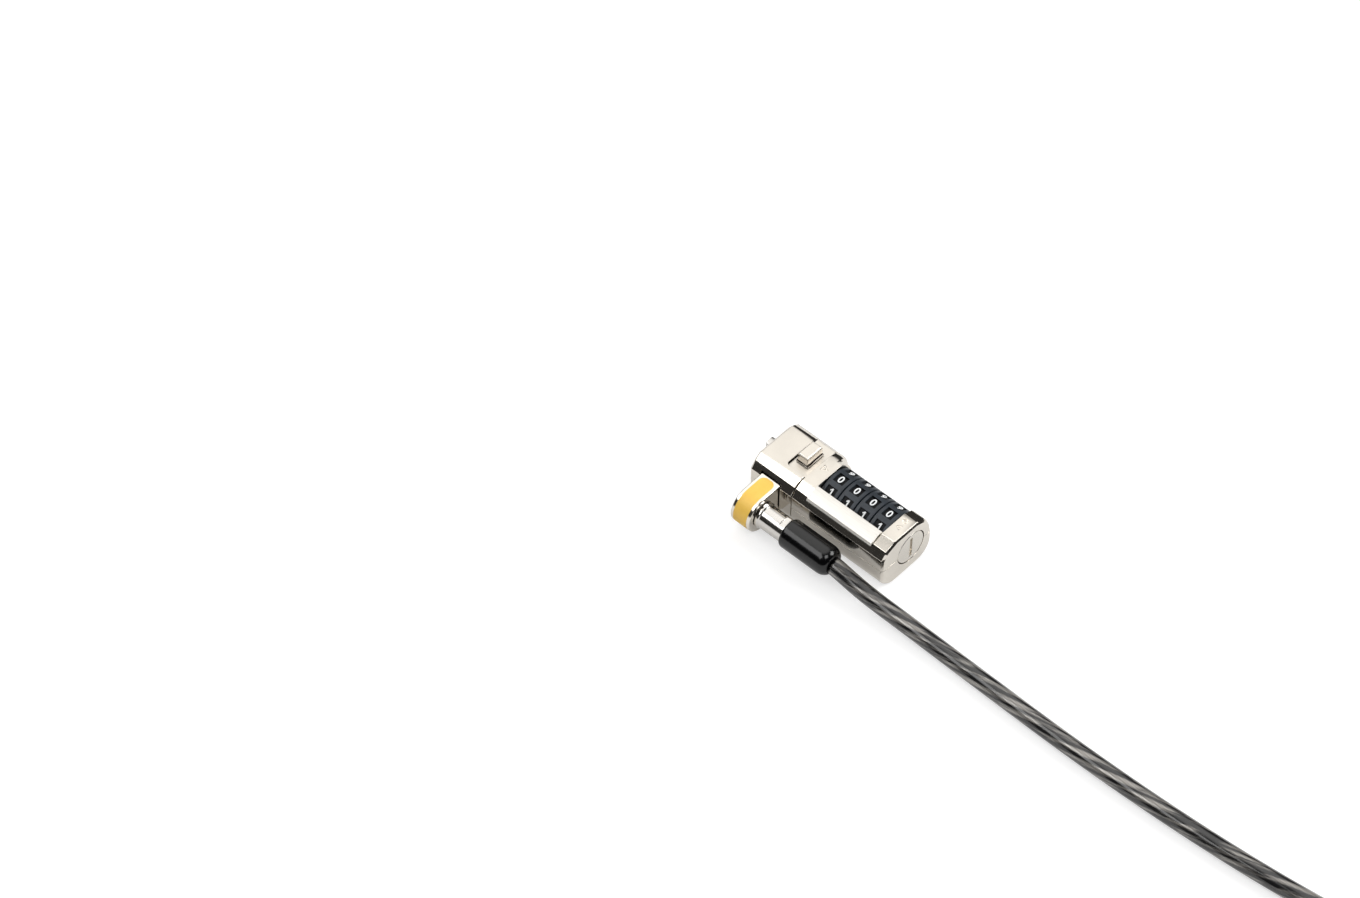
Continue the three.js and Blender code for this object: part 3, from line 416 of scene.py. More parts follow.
# %% Make the cable's finish
STRAND_COUNT = 7
STRAND_TWIST = 80  # length of one turn of a strand, in millimetres
WIRE_COUNT = 28
WIRE_TWIST = 140
STREAK_LENGTH = 24


def strand_finish(name):
    material, tree, shader = blank(name, Roughness=0.2, IOR=1.5, Coat_Weight=0.6, Coat_Roughness=0.08)
    place = tree.node("UVMap", {"uv_map": "along"})
    around = tree.node("SeparateXYZ", None, {0: place}, output=0)
    along = tree.node("SeparateXYZ", None, {0: place}, output=1)
    strands = (around + along / (STRAND_TWIST * MM)) * STRAND_COUNT
    from_middle = abs(strands % 1 - 0.5) * 2
    wires = abs((around - along / (WIRE_TWIST * MM)) * WIRE_COUNT % 1 - 0.5) * 2
    helix = tree.node("CombineXYZ", None, {0: strands, 1: along / (STREAK_LENGTH * MM), 2: around})
    broken = noise(tree, 0.55, place=helix, detail=3)
    glow = (1 - from_middle.smooth(0.3, 0.9)) * broken.smooth(0.42, 0.6)
    light = glow * wires.between(0.55, 1.0)
    feed(shader, "Base Color", light.mix(rgb(24, 24, 25), rgb(168, 164, 158)))
    feed(shader, "Metallic", light * 0.5)
    bump(shader, 1 - from_middle.smooth(0.0, 1.0), 0.03)
    return material


cable_finish = strand_finish("smoky_sheath")
cable.data.materials.append(cable_finish)
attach(cable, "cable")
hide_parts("cable_run", "cable_hank")
print("cable finish made")

# %% [markdown]
# ## The eye at the far end
# The cable's own end is bent back to a loop and crimped in a steel sleeve, so that it can be threaded round
# a desk's leg. The loop is a second tube along the CAD file's points, and follows the sleeve directly.

# %% Make the eye
SLEEVE_LENGTH = 14
SLEEVE_AFTER = 0.9  # from the cable's last point to the sleeve
EYE_AFTER = 0.3  # from the sleeve to the loop
EYE_LENGTH = 40
EYE_HALF = 13  # half the eye's width
LEG = CABLE_RADIUS + 0.15  # from the sleeve's middle to each leg
hank_end = hank_points[-1]
sleeve_start = hank_end.x + SLEEVE_AFTER
eye_start = sleeve_start + SLEEVE_LENGTH + EYE_AFTER
eye_centre_x = eye_start + EYE_LENGTH - EYE_HALF
half_eye = [(0, LEG), (3, LEG + 0.15), (10, LEG + 3.2), (18, EYE_HALF - 2.2)]
eye_points = [(eye_start + x, -y) for x, y in half_eye]
eye_points += [
    (eye_centre_x + EYE_HALF * math.cos(math.radians(a)), EYE_HALF * math.sin(math.radians(a)))
    for a in range(-80, 81, 16)
]
eye_points += [(eye_start + x, y) for x, y in reversed(half_eye)]
eye_line = smooth_line([to_frame((x, hank_end.y + y, hank_end.z)) for x, y in eye_points], RING_SPACING)
eye = tube("cable_loop", eye_line, CABLE_RADIUS * MM)
eye.data.materials.append(cable_finish)
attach(eye, "cable")
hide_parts("cable_eye")
print("eye length", round(length_of(eye_line), 3), "m")

# %% [markdown]
# ## Rounding the edges of a CAD node
# Cast and plated metal has no sharp edge: each one is a thin bright line. The CAD nodes are loose triangles,
# so a copy is merged, its flat areas are joined to single faces, its sharp edges are picked by angle and
# bevelled, and the curved areas are shaded smooth. The CAD node itself is never touched.

# %% Copy a node and work on it by hand
def only(piece):
    """Makes a piece the one selected object, out of edit mode."""
    if bpy.context.mode != "OBJECT":
        bpy.ops.object.mode_set(mode="OBJECT")
    bpy.ops.object.select_all(action="DESELECT")
    piece.select_set(True)
    bpy.context.view_layer.objects.active = piece


def editing(piece, mode="EDGE"):
    """Opens a piece in edit mode with nothing selected."""
    only(piece)
    bpy.ops.object.mode_set(mode="EDIT")
    bpy.ops.mesh.select_mode(type=mode)
    bpy.ops.mesh.select_all(action="DESELECT")


def pick(piece, kind, test):
    """Selects the vertices, edges or faces that pass the test, and says how many.

    The test is given a vertex's place, an edge's two ends, or a face's centre and normal.
    """
    bpy.ops.object.mode_set(mode="OBJECT")
    mesh = piece.data
    for part in (mesh.vertices, mesh.edges, mesh.polygons):
        part.foreach_set("select", [False] * len(part))
    count = 0
    for part in getattr(mesh, kind):
        if kind == "vertices":
            chosen = test(part.co)
        elif kind == "edges":
            a, b = (mesh.vertices[i].co for i in part.vertices)
            chosen = test(a, b)
        else:
            chosen = test(part.center, part.normal)
        part.select = bool(chosen)
        count += bool(chosen)
    bpy.ops.object.mode_set(mode="EDIT")
    return count


def clean_copy(name, node):
    """A copy of a CAD node with its triangles merged to flat faces."""
    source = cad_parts[node]
    piece = bpy.data.objects.new(name, source.data.copy())
    bpy.context.scene.collection.objects.link(piece)
    piece.data.materials.clear()
    editing(piece, "VERT")
    bpy.ops.mesh.select_all(action="SELECT")
    bpy.ops.mesh.customdata_custom_splitnormals_clear()
    bpy.ops.mesh.remove_doubles(threshold=2e-6)
    bpy.ops.mesh.dissolve_limited(angle_limit=math.radians(0.6), delimit=set())
    bpy.ops.mesh.select_all(action="SELECT")
    bpy.ops.mesh.vert_connect_concave()
    bpy.ops.object.mode_set(mode="OBJECT")
    return piece


def round_edges(piece, width_mm, sharper_than=26, segments=2, leave=None):
    """Bevels the edges that bend more than an angle, apart from those whose middle leave() names."""
    editing(piece)
    bpy.ops.mesh.edges_select_sharp(sharpness=math.radians(sharper_than))
    bpy.ops.object.mode_set(mode="OBJECT")
    mesh = piece.data
    count = 0
    for edge in mesh.edges:
        if edge.select and leave:
            middle = (mesh.vertices[edge.vertices[0]].co + mesh.vertices[edge.vertices[1]].co) / 2
            edge.select = not leave(middle)
        count += edge.select
    bpy.ops.object.mode_set(mode="EDIT")
    if count:
        bpy.ops.mesh.bevel(offset=width_mm * MM, segments=segments, profile=0.5, clamp_overlap=False)
    bpy.ops.object.mode_set(mode="OBJECT")
    return count


def shade(piece, angle=32):
    """Shades smooth over bends under an angle, with the large flat faces setting the direction."""
    only(piece)
    bpy.ops.object.shade_smooth_by_angle(angle=math.radians(angle))
    weights = piece.modifiers.new("weights", "WEIGHTED_NORMAL")
    weights.keep_sharp = True
    weights.weight = 80
    bpy.ops.object.modifier_apply(modifier=weights.name)
    return piece


def settle(piece, body, slot, material, *nodes):
    """Gives a finished piece its material and its body, and hides the CAD nodes that it stands for. Its slot
    is not used.
    """
    if material is not None:
        piece.data.materials.clear()
        piece.data.materials.append(material)
    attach(piece, body)
    if nodes:
        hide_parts(*nodes)
    print(f"{piece.name}: {len(piece.data.polygons)} faces on {body}")


print("modelling helpers ready")

# %% [markdown]
# ## Metal finishes
# The body is zinc with a nickel plate: warm, bright and only a little blurred. Its flat top and the pocket's
# floor are blasted to a fine satin, while the sides stay smooth and mirror what stands beside them. Two thin
# lines of painted shade, at the foot of the pocket's wall and under the button's cap, darken the creases
# there, and the button's sides carry a painted reflection in a darker colour than its top. The bare plate is
# brushed along its length and has a polished edge painted dark as a painted reflection, and the turned
# ferrule carries fine rings. Three recipes with a few numbers give all of them.

# %% Make the metals
BODY_SATIN = 15.6  # heights in millimetres: the satin tops of body and button lie over these two
BUTTON_SATIN = 17.95
# The plate's edge under this height is polished and painted dark, as a painted reflection.
PLATE_EDGE = 14.25  # the plate's polished edge lies under this
POCKET_FLOOR = 14.9
POCKET_CORNER = 1  # radius of the corner in the pocket's wall
# The dark line in the pocket is a line of painted shade in the crease at the wall's foot.
LINE_LOW, LINE_HIGH = 14.85, 15.56  # the heights of the dark line in the pocket
LINE_END_X = -15.4  # where that line ends along the lock
# The heights of the painted shade line under the button's cap.
CAP_LINE_LOW, CAP_LINE_HIGH = 15.5, 15.7
FERRULE_AXIS = (-15.1, 6.8)  # the y and z of the ferrule's middle
# The brown of the painted shade lines in the pocket and under the button's cap.
SHADE_BROWN = rgb(34, 29, 26)

pocket_floor = [
    vertex.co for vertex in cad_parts["nose_block"].data.vertices
    if abs(vertex.co.z - POCKET_FLOOR * MM) < 2e-5
]
POCKET_X = min(point.x for point in pocket_floor) / MM
POCKET_Y = min(point.y for point in pocket_floor) / MM


def plated(name, colour, low, high, grain_mm=0.35, grain_depth=0.004, top=None, floor=None,
           top_roughness=0.4, painted_shade=None, wall_reflection_colour=None):
    """Plated metal, blasted to a satin above the height top and on a pocket's floor at the height floor."""
    material, tree, shader = blank(name, Metallic=1.0)
    cloud = noise(tree, 6, detail=3)
    fine = noise(tree, grain_mm, detail=2, roughness=0.6)
    tint = (cloud * 0.6 + fine * 0.4).smooth(0.3, 0.7)
    plate = tint.mix(darkened(colour, 0.93), colour)
    rough = cloud.between(low, high)
    grain = fine
    if top is not None:
        height = axis_of(tree, "Z")
        satin = height.smooth(top - 0.05, top)
        # Below the satin top a darker colour can be given: a painted reflection.
        if wall_reflection_colour is not None:
            plate = satin.mix(tint.mix(darkened(wall_reflection_colour, 0.9), wall_reflection_colour), plate)
        if floor is not None:
            in_pocket = (axis_of(tree, "X") > POCKET_X) * (axis_of(tree, "Y") > POCKET_Y)
            satin = satin + (abs(height - floor) < 0.04) * in_pocket
        rough = rough * (1 - satin) + fine.between(top_roughness - 0.06, top_roughness + 0.06) * satin
        grain = fine * satin.between(0.06, 1.0)
    # Painted shade: a thin line in a crease is darkened to a brown and made a little rougher.
    if painted_shade is not None:
        shade_line = painted_shade(tree)
        plate = shade_line.mix(plate, SHADE_BROWN)
        rough = rough + shade_line * 0.3
    feed(shader, "Base Color", plate)
    feed(shader, "Roughness", rough)
    bump(shader, grain, grain_depth)
    return material


def brushed(name, colour, low, high, along, depth=0.003, dark_under=None):
    """Metal with fine scratches that run along one axis. Under a height it is a polished edge, painted dark
    as a painted reflection.
    """
    material, tree, shader = blank(name, Metallic=1.0)
    stretch = [1, 1, 1]
    stretch["XYZ".index(along)] = 40
    lines = noise(tree, 0.16, stretch=stretch, detail=3, roughness=0.65)
    cloud = noise(tree, 5, detail=2)
    rough = (lines * 0.5 + cloud * 0.5).between(low, high)
    scratched = lines.smooth(0.3, 0.7).mix(darkened(colour, 0.88), colour)
    # Under that height the edge is polished, and its colour is painted dark as a painted reflection.
    if dark_under is not None:
        flat = axis_of(tree, "Z").smooth(dark_under - 0.1, dark_under)
        rough = rough * flat.between(0.25, 1.0)
        scratched = flat.mix(darkened(colour, 0.12), scratched)
    feed(shader, "Base Color", scratched)
    feed(shader, "Roughness", rough)
    bump(shader, lines, depth)
    return material


def turned(name, colour, low, high, centre, depth):
    """Metal turned on a lathe about an axis along X: fine rings along it and light wear round it."""
    material, tree, shader = blank(name, Metallic=1.0)
    x, y, z = (axis_of(tree, letter) for letter in "XYZ")
    across, over = y - centre[0], z - centre[1]
    radius = tree.math("SQRT", across * across + over * over)
    rings = tree.node("CombineXYZ", None, {0: x, 1: radius, 2: 0.0})
    lines = noise(tree, 0.2, place=rings, detail=3, roughness=0.6)
    cloud = noise(tree, 3, detail=2)
    feed(shader, "Base Color", lines.smooth(0.3, 0.7).mix(darkened(colour, 0.94), colour))
    feed(shader, "Roughness", (lines * 0.3 + cloud * 0.7).between(low, high))
    bump(shader, lines, depth)
    return material


def pocket_line(tree):
    """A thin line of painted shade in the foot of the pocket's wall, round its corner and up to the nose's
    end.
    """
    x, y, z = (axis_of(tree, letter) for letter in "XYZ")
    over_x = tree.math("MAXIMUM", POCKET_CORNER - (x - POCKET_X), 0)
    over_y = tree.math("MAXIMUM", POCKET_CORNER - (y - POCKET_Y), 0)
    inside = POCKET_CORNER - tree.math("SQRT", over_x * over_x + over_y * over_y)
    beside_wall = (1 - inside.smooth(0.16, 0.24)) * (inside > -0.03)
    return beside_wall * (z > LINE_LOW) * (z < LINE_HIGH) * (x < LINE_END_X)


def cap_line(tree):
    """A thin line of painted shade where the button's cap stands on its step."""
    z = axis_of(tree, "Z")
    return (z > CAP_LINE_LOW) * (z < CAP_LINE_HIGH)


NICKEL = rgb(232, 226, 216)
STEEL = rgb(214, 211, 206)
body_metal = plated("satin_nickel", NICKEL, 0.07, 0.13, top=BODY_SATIN, top_roughness=0.42)
# The nose's pocket gets a line of painted shade at the foot of its wall.
nose_metal = plated(
    "nose_nickel", NICKEL, 0.07, 0.13, top=BODY_SATIN, floor=POCKET_FLOOR,
    top_roughness=0.42, painted_shade=pocket_line,
)
# The button's sides, below its satin top, carry a painted reflection in a darker colour, and a line of
# painted shade under its cap.
button_metal = plated(
    "button_nickel", NICKEL, 0.1, 0.2, top=BUTTON_SATIN, painted_shade=cap_line, wall_reflection_colour=rgb(166, 160, 152)
)
disc_metal = plated("disc_nickel", rgb(226, 221, 212), 0.2, 0.32, grain_mm=0.25)
collar_metal = plated("collar_nickel", NICKEL, 0.10, 0.18)
# The plate's polished lower edge is painted dark, as a painted reflection.
plate_metal = brushed("brushed_plate", rgb(236, 233, 227), 0.42, 0.56, "X", dark_under=PLATE_EDGE)
ferrule_metal = turned("turned_steel", STEEL, 0.09, 0.17, FERRULE_AXIS, depth=0.0008)
t_bar_metal = plated("hardened_steel", STEEL, 0.22, 0.36, grain_mm=0.2)
spring_metal = plated("spring_wire", rgb(150, 148, 148), 0.3, 0.45, grain_mm=0.2)
brass_metal = plated("turned_brass", rgb(205, 168, 92), 0.28, 0.42, grain_mm=0.25)
print("metals", body_metal.name, plate_metal.name, ferrule_metal.name, brass_metal.name)

# %% [markdown]
# ## The three body shells
# The nose block, the dial housing and the base shell meet at two thin dark lines. Copies with rounded edges
# keep every CAD dimension. The engraved marks on the top are left sharp, because a bevel there would be as
# wide as the mark.

# %% Make the shells
MARKS_X = ((-15.6, -12.0), (11.7, 14.6))
MARKS_Y = (-1.6, 4.2)
MARKS_OVER_Z = 15.3


def near_marks(middle):
    """Whether a place is on one of the engraved marks."""
    x, y, z = middle / MM
    along = any(low < x < high for low, high in MARKS_X)
    return along and MARKS_Y[0] < y < MARKS_Y[1] and z > MARKS_OVER_Z


nose = clean_copy("nose", "nose_block")
print("nose: rounded", round_edges(nose, 0.12))
settle(shade(nose, 24), "housing", "nickel", nose_metal, "nose_block")

housing = clean_copy("housing_shell", "dial_housing")
print("housing: rounded", round_edges(housing, 0.1, leave=near_marks))
settle(shade(housing, 24), "housing", "nickel", body_metal, "dial_housing")

base = clean_copy("base", "base_shell")
print("base: rounded", round_edges(base, 0.1))
settle(shade(base), "housing", "nickel", body_metal, "base_shell")

# %% The button, the plate, the disc and the steel pieces
for name, node, bevel_mm, body, slot, metal in (
    ("button", "slide_button", 0.12, "button", "nickel", button_metal),
    ("bare_plate", "name_plate", 0.1, "housing", "bright_plate", plate_metal),
    ("slotted_disc", "reset_disc", 0.06, "reset", "nickel", disc_metal),
    ("t_bar_steel", "t_bar", 0.12, "t_bar", "steel", t_bar_metal),
    ("guard_plate", "nose_guard", 0.1, "housing", "steel", t_bar_metal),
    ("turned_ferrule", "cable_ferrule", 0.1, "cable", "steel", ferrule_metal),
):
    piece = clean_copy(name, node)
    round_edges(piece, bevel_mm)
    settle(shade(piece), body, slot, metal, node)

# %% [markdown]
# ## The dials
# Each dial is a moulded wheel with ten square pockets, and a white digit in each. A cylinder of sixty sides
# has six to a digit, and four of them make its pocket. The two ends are opened and bridged to a bore, the
# rims are bevelled, and an inset that also sinks makes the pockets. One wheel is modelled, then copied.

# %% Make one wheel
AXIS_Y, AXIS_Z = 2, 8.15
DIAL_RADIUS = 7.45
DIAL_WIDTH = 5.23
RIM_BEVEL = 0.24
BORE = 4.3
DIGITS = 10
DIGIT_STEP = 36  # degrees from one digit to the next
POCKET_HALF = 1.62
POCKET_HALF_ANGLE = 12
POCKET_INSET = 0.1
POCKET_DEPTH = 0.42
SAME = 1e-6  # two places in metres closer than this are one


def angle_from_digit(point):
    """Degrees from the middle of the nearest digit, seen from the dials' axis."""
    angle = math.degrees(math.atan2(point.z - AXIS_Z * MM, point.y - AXIS_Y * MM)) - 90
    return abs((angle + DIGIT_STEP / 2) % DIGIT_STEP - DIGIT_STEP / 2)


def axis_distance(point):
    return math.hypot(point.y - AXIS_Y * MM, point.z - AXIS_Z * MM) / MM


def on_bore(a, b):
    return max(axis_distance(a), axis_distance(b)) < BORE + 0.2 and abs(a.x - b.x) < SAME


def on_rim(a, b):
    at_end = abs(a.x - b.x) < SAME and abs(abs(a.x) - DIAL_WIDTH / 2 * MM) < SAME
    return at_end and min(axis_distance(a), axis_distance(b)) > DIAL_RADIUS - 0.1


def on_pocket(centre, normal):
    in_middle = abs(centre.x) < POCKET_HALF * MM and abs(normal.x) < 0.1
    outside = axis_distance(centre) > DIAL_RADIUS - 0.2
    return in_middle and outside and angle_from_digit(centre) < POCKET_HALF_ANGLE


def make_wheel(name):
    bpy.ops.object.select_all(action="DESELECT")
    bpy.ops.mesh.primitive_cylinder_add(
        vertices=60, radius=DIAL_RADIUS * MM, depth=DIAL_WIDTH * MM,
        location=(0, AXIS_Y * MM, AXIS_Z * MM), rotation=(0, math.pi / 2, 0),
    )
    wheel = bpy.context.object
    wheel.name = name
    bpy.ops.object.transform_apply(location=True, rotation=True, scale=True)
    for x in (-POCKET_HALF, POCKET_HALF):
        editing(wheel)
        bpy.ops.mesh.select_all(action="SELECT")
        bpy.ops.mesh.bisect(plane_co=(x * MM, 0, 0), plane_no=(1, 0, 0))
    ends = pick(wheel, "polygons", lambda centre, normal: abs(normal.x) > 0.9)
    bpy.ops.mesh.inset(thickness=(DIAL_RADIUS - BORE) * MM, depth=0)
    bpy.ops.mesh.delete(type="FACE")
    pick(wheel, "edges", on_bore)
    bpy.ops.mesh.bridge_edge_loops()
    rims = pick(wheel, "edges", on_rim)
    bpy.ops.mesh.bevel(offset=RIM_BEVEL * MM, segments=2, profile=0.5, clamp_overlap=False)
    pockets = pick(wheel, "polygons", on_pocket)
    bpy.ops.mesh.inset(thickness=POCKET_INSET * MM, depth=-POCKET_DEPTH * MM)
    bpy.ops.object.mode_set(mode="OBJECT")
    for face in wheel.data.polygons:
        sunk = BORE + 1.8 < axis_distance(face.center) < DIAL_RADIUS - 0.12
        face.material_index = 1 if sunk and abs(face.normal.x) < 0.3 else 0
    print("wheel:", ends, "end faces,", rims, "rim edges,", pockets, "pocket faces")
    return wheel


first_wheel = make_wheel("wheel_1")

# %% [markdown]
# ## The digits
# A digit is a text object turned to a mesh before it is placed. The digit 0 is on top, and each next one is
# 36 degrees further round the axis. The built-in typeface is made bolder by its offset, and its 1 gets a
# short slanted stroke. Every digit is a thin flat plate just over its pocket's floor.

# %% Make the digits and join them to the wheel
DIGIT_HEIGHT = 2.35
DIGIT_NARROWER = 0.92
DIGIT_SUNK = 0.33  # from the wheel's radius to the middle of the plate
TEXT_SIZE = 3.3
TEXT_BOLDER = 0.05
TEXT_HALF_THICKNESS = 0.05
FLAG_SIZE = (0.86, 0.34, 0.09)
FLAG_LEFT, FLAG_DOWN = 0.14, 0.38  # from the bar's top left corner to the flag's middle
FLAG_TURN = 42


def add_flag(digit):
    """The built-in 1 is a bare bar. This gives it the short slanted stroke at its top."""
    left = min(v.co.x for v in digit.data.vertices)
    top = max(v.co.y for v in digit.data.vertices)
    bpy.ops.mesh.primitive_cube_add(
        size=1,
        location=(left - FLAG_LEFT * MM, top - FLAG_DOWN * MM, 0),
        rotation=(0, 0, math.radians(FLAG_TURN)),
        scale=tuple(length * MM for length in FLAG_SIZE),
    )
    flag = bpy.context.object
    bpy.ops.object.transform_apply(location=True, rotation=True, scale=True)
    digit.select_set(True)
    flag.select_set(True)
    bpy.context.view_layer.objects.active = digit
    bpy.ops.object.join()


def make_digit(number):
    bpy.ops.object.select_all(action="DESELECT")
    bpy.ops.object.text_add(location=(0, 0, 0))
    digit = bpy.context.object
    digit.data.body = str(number)
    digit.data.align_x = "CENTER"
    digit.data.align_y = "CENTER"
    digit.data.size = TEXT_SIZE * MM
    digit.data.offset = TEXT_BOLDER * MM
    digit.data.extrude = TEXT_HALF_THICKNESS * MM
    digit.data.resolution_u = 4
    bpy.ops.object.convert(target="MESH")
    if number == 1:
        add_flag(digit)
    mesh = digit.data
    low = np.array([v.co for v in mesh.vertices]).min(0)
    high = np.array([v.co for v in mesh.vertices]).max(0)
    middle = (low + high) / 2
    scale = DIGIT_HEIGHT * MM / (high[1] - low[1])
    about = Matrix.Translation((0, AXIS_Y * MM, AXIS_Z * MM))
    turn_round = Matrix.Rotation(math.radians(DIGIT_STEP * number), 4, "X")
    out = Matrix.Translation((0, 0, (DIAL_RADIUS - DIGIT_SUNK) * MM))
    size = Matrix.Diagonal((scale * DIGIT_NARROWER, scale, 1, 1))
    centre = Matrix.Translation((-middle[0], -middle[1], 0))
    mesh.transform(about @ turn_round @ out @ size @ centre)
    return digit


def white_digits():
    material, tree, shader = blank("digit_white", Roughness=0.5)
    speck = noise(tree, 0.3, detail=2)
    feed(shader, "Base Color", speck.mix(rgb(226, 230, 232), rgb(250, 251, 252)))
    bump(shader, speck, 0.004)
    return material


def moulded(name, dark, light, low, high, **fixed):
    """Moulded plastic between two colours and two roughnesses."""
    material, tree, shader = blank(name, IOR=1.5, **fixed)
    cloud = noise(tree, 2.5, detail=3)
    fine = noise(tree, 0.3, detail=3, roughness=0.6)
    feed(shader, "Base Color", (cloud * 0.6 + fine * 0.4).smooth(0.3, 0.7).mix(dark, light))
    feed(shader, "Roughness", fine.between(low, high))
    bump(shader, fine, 0.006)
    return material


dial_plastic = moulded("dial_slate", rgb(34, 40, 47), rgb(46, 53, 61), 0.36, 0.52)
pocket_plastic = moulded("pocket_dark", rgb(5, 6, 8), rgb(11, 13, 16), 0.4, 0.55, Specular_IOR_Level=0.15)
digit_paint = white_digits()

shade(first_wheel, 40)
first_wheel.data.materials.append(dial_plastic)
first_wheel.data.materials.append(pocket_plastic)
first_wheel.data.materials.append(digit_paint)
digits = [make_digit(number) for number in range(DIGITS)]
for digit in digits:
    digit.data.materials.append(digit_paint)
bpy.ops.object.select_all(action="DESELECT")
for digit in digits:
    digit.select_set(True)
first_wheel.select_set(True)
bpy.context.view_layer.objects.active = first_wheel
bpy.ops.object.join()
print("wheel with its digits:", len(first_wheel.data.polygons), "faces")

# %% Copy the wheel to the four places
BODY_OF_DIAL = ("dial_one", "dial_two", "dial_three", "dial_four")
DIAL_PLACES = [sum(c.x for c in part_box(f"dial_{i}")) / 2 for i in (1, 2, 3, 4)]
wheels = [first_wheel]
for number in (2, 3, 4):
    copy = bpy.data.objects.new(f"wheel_{number}", first_wheel.data.copy())
    bpy.context.scene.collection.objects.link(copy)
    wheels.append(copy)
for number, (wheel, x, body) in enumerate(zip(wheels, DIAL_PLACES, BODY_OF_DIAL), start=1):
    wheel.data.transform(Matrix.Translation((x, 0, 0)))
    settle(wheel, body, "dial", None, f"dial_{number}")

# %% [markdown]
# ## The collar
# The collar is a link between two round ends, cast in one piece. The simplest way to that outline is a hull:
# two discs are made, and the operator wraps them. Its rims are bevelled, and the two bores are cut through.

# %% Make the collar
HUB_Y, HUB_Z = FERRULE_AXIS
HUB_RADIUS, HUB_BORE = 5.6, 2.8
RING_RADIUS, RING_BORE = 4.7, 3.3
COLLAR_START, COLLAR_END = 2.65, 9.15
COLLAR_BEVEL = 0.34
TOOL_END = 30  # the boring tool reaches from the nose face to here


def disc_along_x(name, start, end, y, z, radius, sides=64):
    """A disc about an axis along X. Start and end are counted from the nose face, as in the CAD file."""
    bpy.ops.object.select_all(action="DESELECT")
    bpy.ops.mesh.primitive_cylinder_add(
        vertices=sides, radius=radius * MM, depth=(end - start) * MM,
        location=((start + end) / 2 * MM + FILE_X, y * MM, z * MM), rotation=(0, math.pi / 2, 0),
    )
    disc = bpy.context.object
    disc.name = name
    bpy.ops.object.transform_apply(location=True, rotation=True, scale=True)
    return disc


def bore_out(piece, tool):
    """Cuts the tool's shape out of the piece and throws the tool away."""
    only(piece)
    hole = piece.modifiers.new("bore", "BOOLEAN")
    hole.operation = "DIFFERENCE"
    hole.object = tool
    hole.solver = "EXACT"
    bpy.ops.object.modifier_apply(modifier=hole.name)
    bpy.data.objects.remove(tool)


collar = disc_along_x("collar", COLLAR_START, COLLAR_END, HUB_Y, HUB_Z, HUB_RADIUS)
other_end = disc_along_x("other_end", COLLAR_START, COLLAR_END, AXIS_Y, AXIS_Z, RING_RADIUS)
bpy.ops.object.select_all(action="DESELECT")
other_end.select_set(True)
collar.select_set(True)
bpy.context.view_layer.objects.active = collar
bpy.ops.object.join()
editing(collar, "VERT")
bpy.ops.mesh.select_all(action="SELECT")
bpy.ops.mesh.convex_hull()
bpy.ops.mesh.dissolve_limited(angle_limit=math.radians(0.6))
bpy.ops.object.mode_set(mode="OBJECT")
print("collar rims rounded:", round_edges(collar, COLLAR_BEVEL, sharper_than=60, segments=3))
bore_out(collar, disc_along_x("bore", 0, TOOL_END, AXIS_Y, AXIS_Z, RING_BORE))
bore_out(collar, disc_along_x("bore", 0, TOOL_END, HUB_Y, HUB_Z, HUB_BORE))
settle(shade(collar), "collar", "nickel", collar_metal, "anchor_collar")

# %% [markdown]
# ## The yellow band
# A strip of yellow plastic lies in the collar's rim, over the top and round the end. Its free end on top is
# rounded. It is a copy of the CAD strip, with the corner edges of that end bevelled to a wide radius, and it
# stands a few hundredths proud so that it isn't lost in the collar.

# %% Make the band
BAND_END_Y = -9.6  # the free end lies beyond this
BAND_CORNER = 1.7
BAND_PROUD = 0.04


def on_band_corner(a, b):
    """Whether an edge is a short one through the strip's thickness at its free end."""
    at_end = abs(a.x - b.x) < SAME and min(a.y, b.y) > BAND_END_Y * MM
    return at_end and (a - b).length < 1.2 * MM and abs(a.z - b.z) > 0.2 * MM


band = clean_copy("band", "collar_band")
editing(band)
corners = pick(band, "edges", on_band_corner)
bpy.ops.mesh.bevel(offset=BAND_CORNER * MM, segments=8, profile=0.5, clamp_overlap=False)
bpy.ops.object.mode_set(mode="OBJECT")
print("band corners", corners)
editing(band)
bpy.ops.mesh.select_all(action="SELECT")
bpy.ops.transform.shrink_fatten(value=BAND_PROUD * MM)
bpy.ops.object.mode_set(mode="OBJECT")


def band_plastic():
    material, tree, shader = blank("band_yellow", IOR=1.5)
    fine = noise(tree, 0.35, detail=3)
    cloud = noise(tree, 3, detail=2)
    tint = (cloud * 0.5 + fine * 0.5).smooth(0.3, 0.7)
    feed(shader, "Base Color", tint.mix(rgb(250, 201, 84), rgb(254, 208, 94)))
    feed(shader, "Roughness", fine.between(0.4, 0.5))
    bump(shader, fine, 0.003)
    return material


settle(shade(band), "collar", "yellow", band_plastic(), "collar_band")

# %% [markdown]
# ## The boot
# A rubber boot covers the joint between ferrule and cable. Its surface is glossy, with the slight waviness
# of moulded rubber, which shows as a soft edge on its long highlight.

# %% Make the boot
def rubber():
    material, tree, shader = blank("boot_rubber", IOR=1.5)
    wave = noise(tree, 2.2, detail=2)
    fine = noise(tree, 0.3, detail=3)
    feed(shader, "Base Color", wave.mix(rgb(3, 3, 4), rgb(8, 9, 10)))
    feed(shader, "Roughness", (wave * 0.6 + fine * 0.4).between(0.12, 0.2))
    bump(shader, wave * 0.9 + fine * 0.1, 0.012)
    return material


boot = clean_copy("rubber_boot", "cable_boot")
settle(shade(boot, 50), "cable", "boot", rubber(), "cable_boot")

# %% [markdown]
# ## The crimped sleeve
# The sleeve holds both legs of the eye. It is a copy of the CAD node, which is the right shape already. The
# crimping tool leaves two shallow waists in it. Each is made by cutting the sleeve across, three times, and
# drawing the middle ring of points in.

# %% Make the sleeve
WAIST_CUTS = (0.22, 0.3, 0.38, 0.62, 0.7, 0.78)  # as shares of the sleeve's length
WAISTS = (0.3, 0.7)
WAIST_SIZE = (1, 0.985, 0.93)

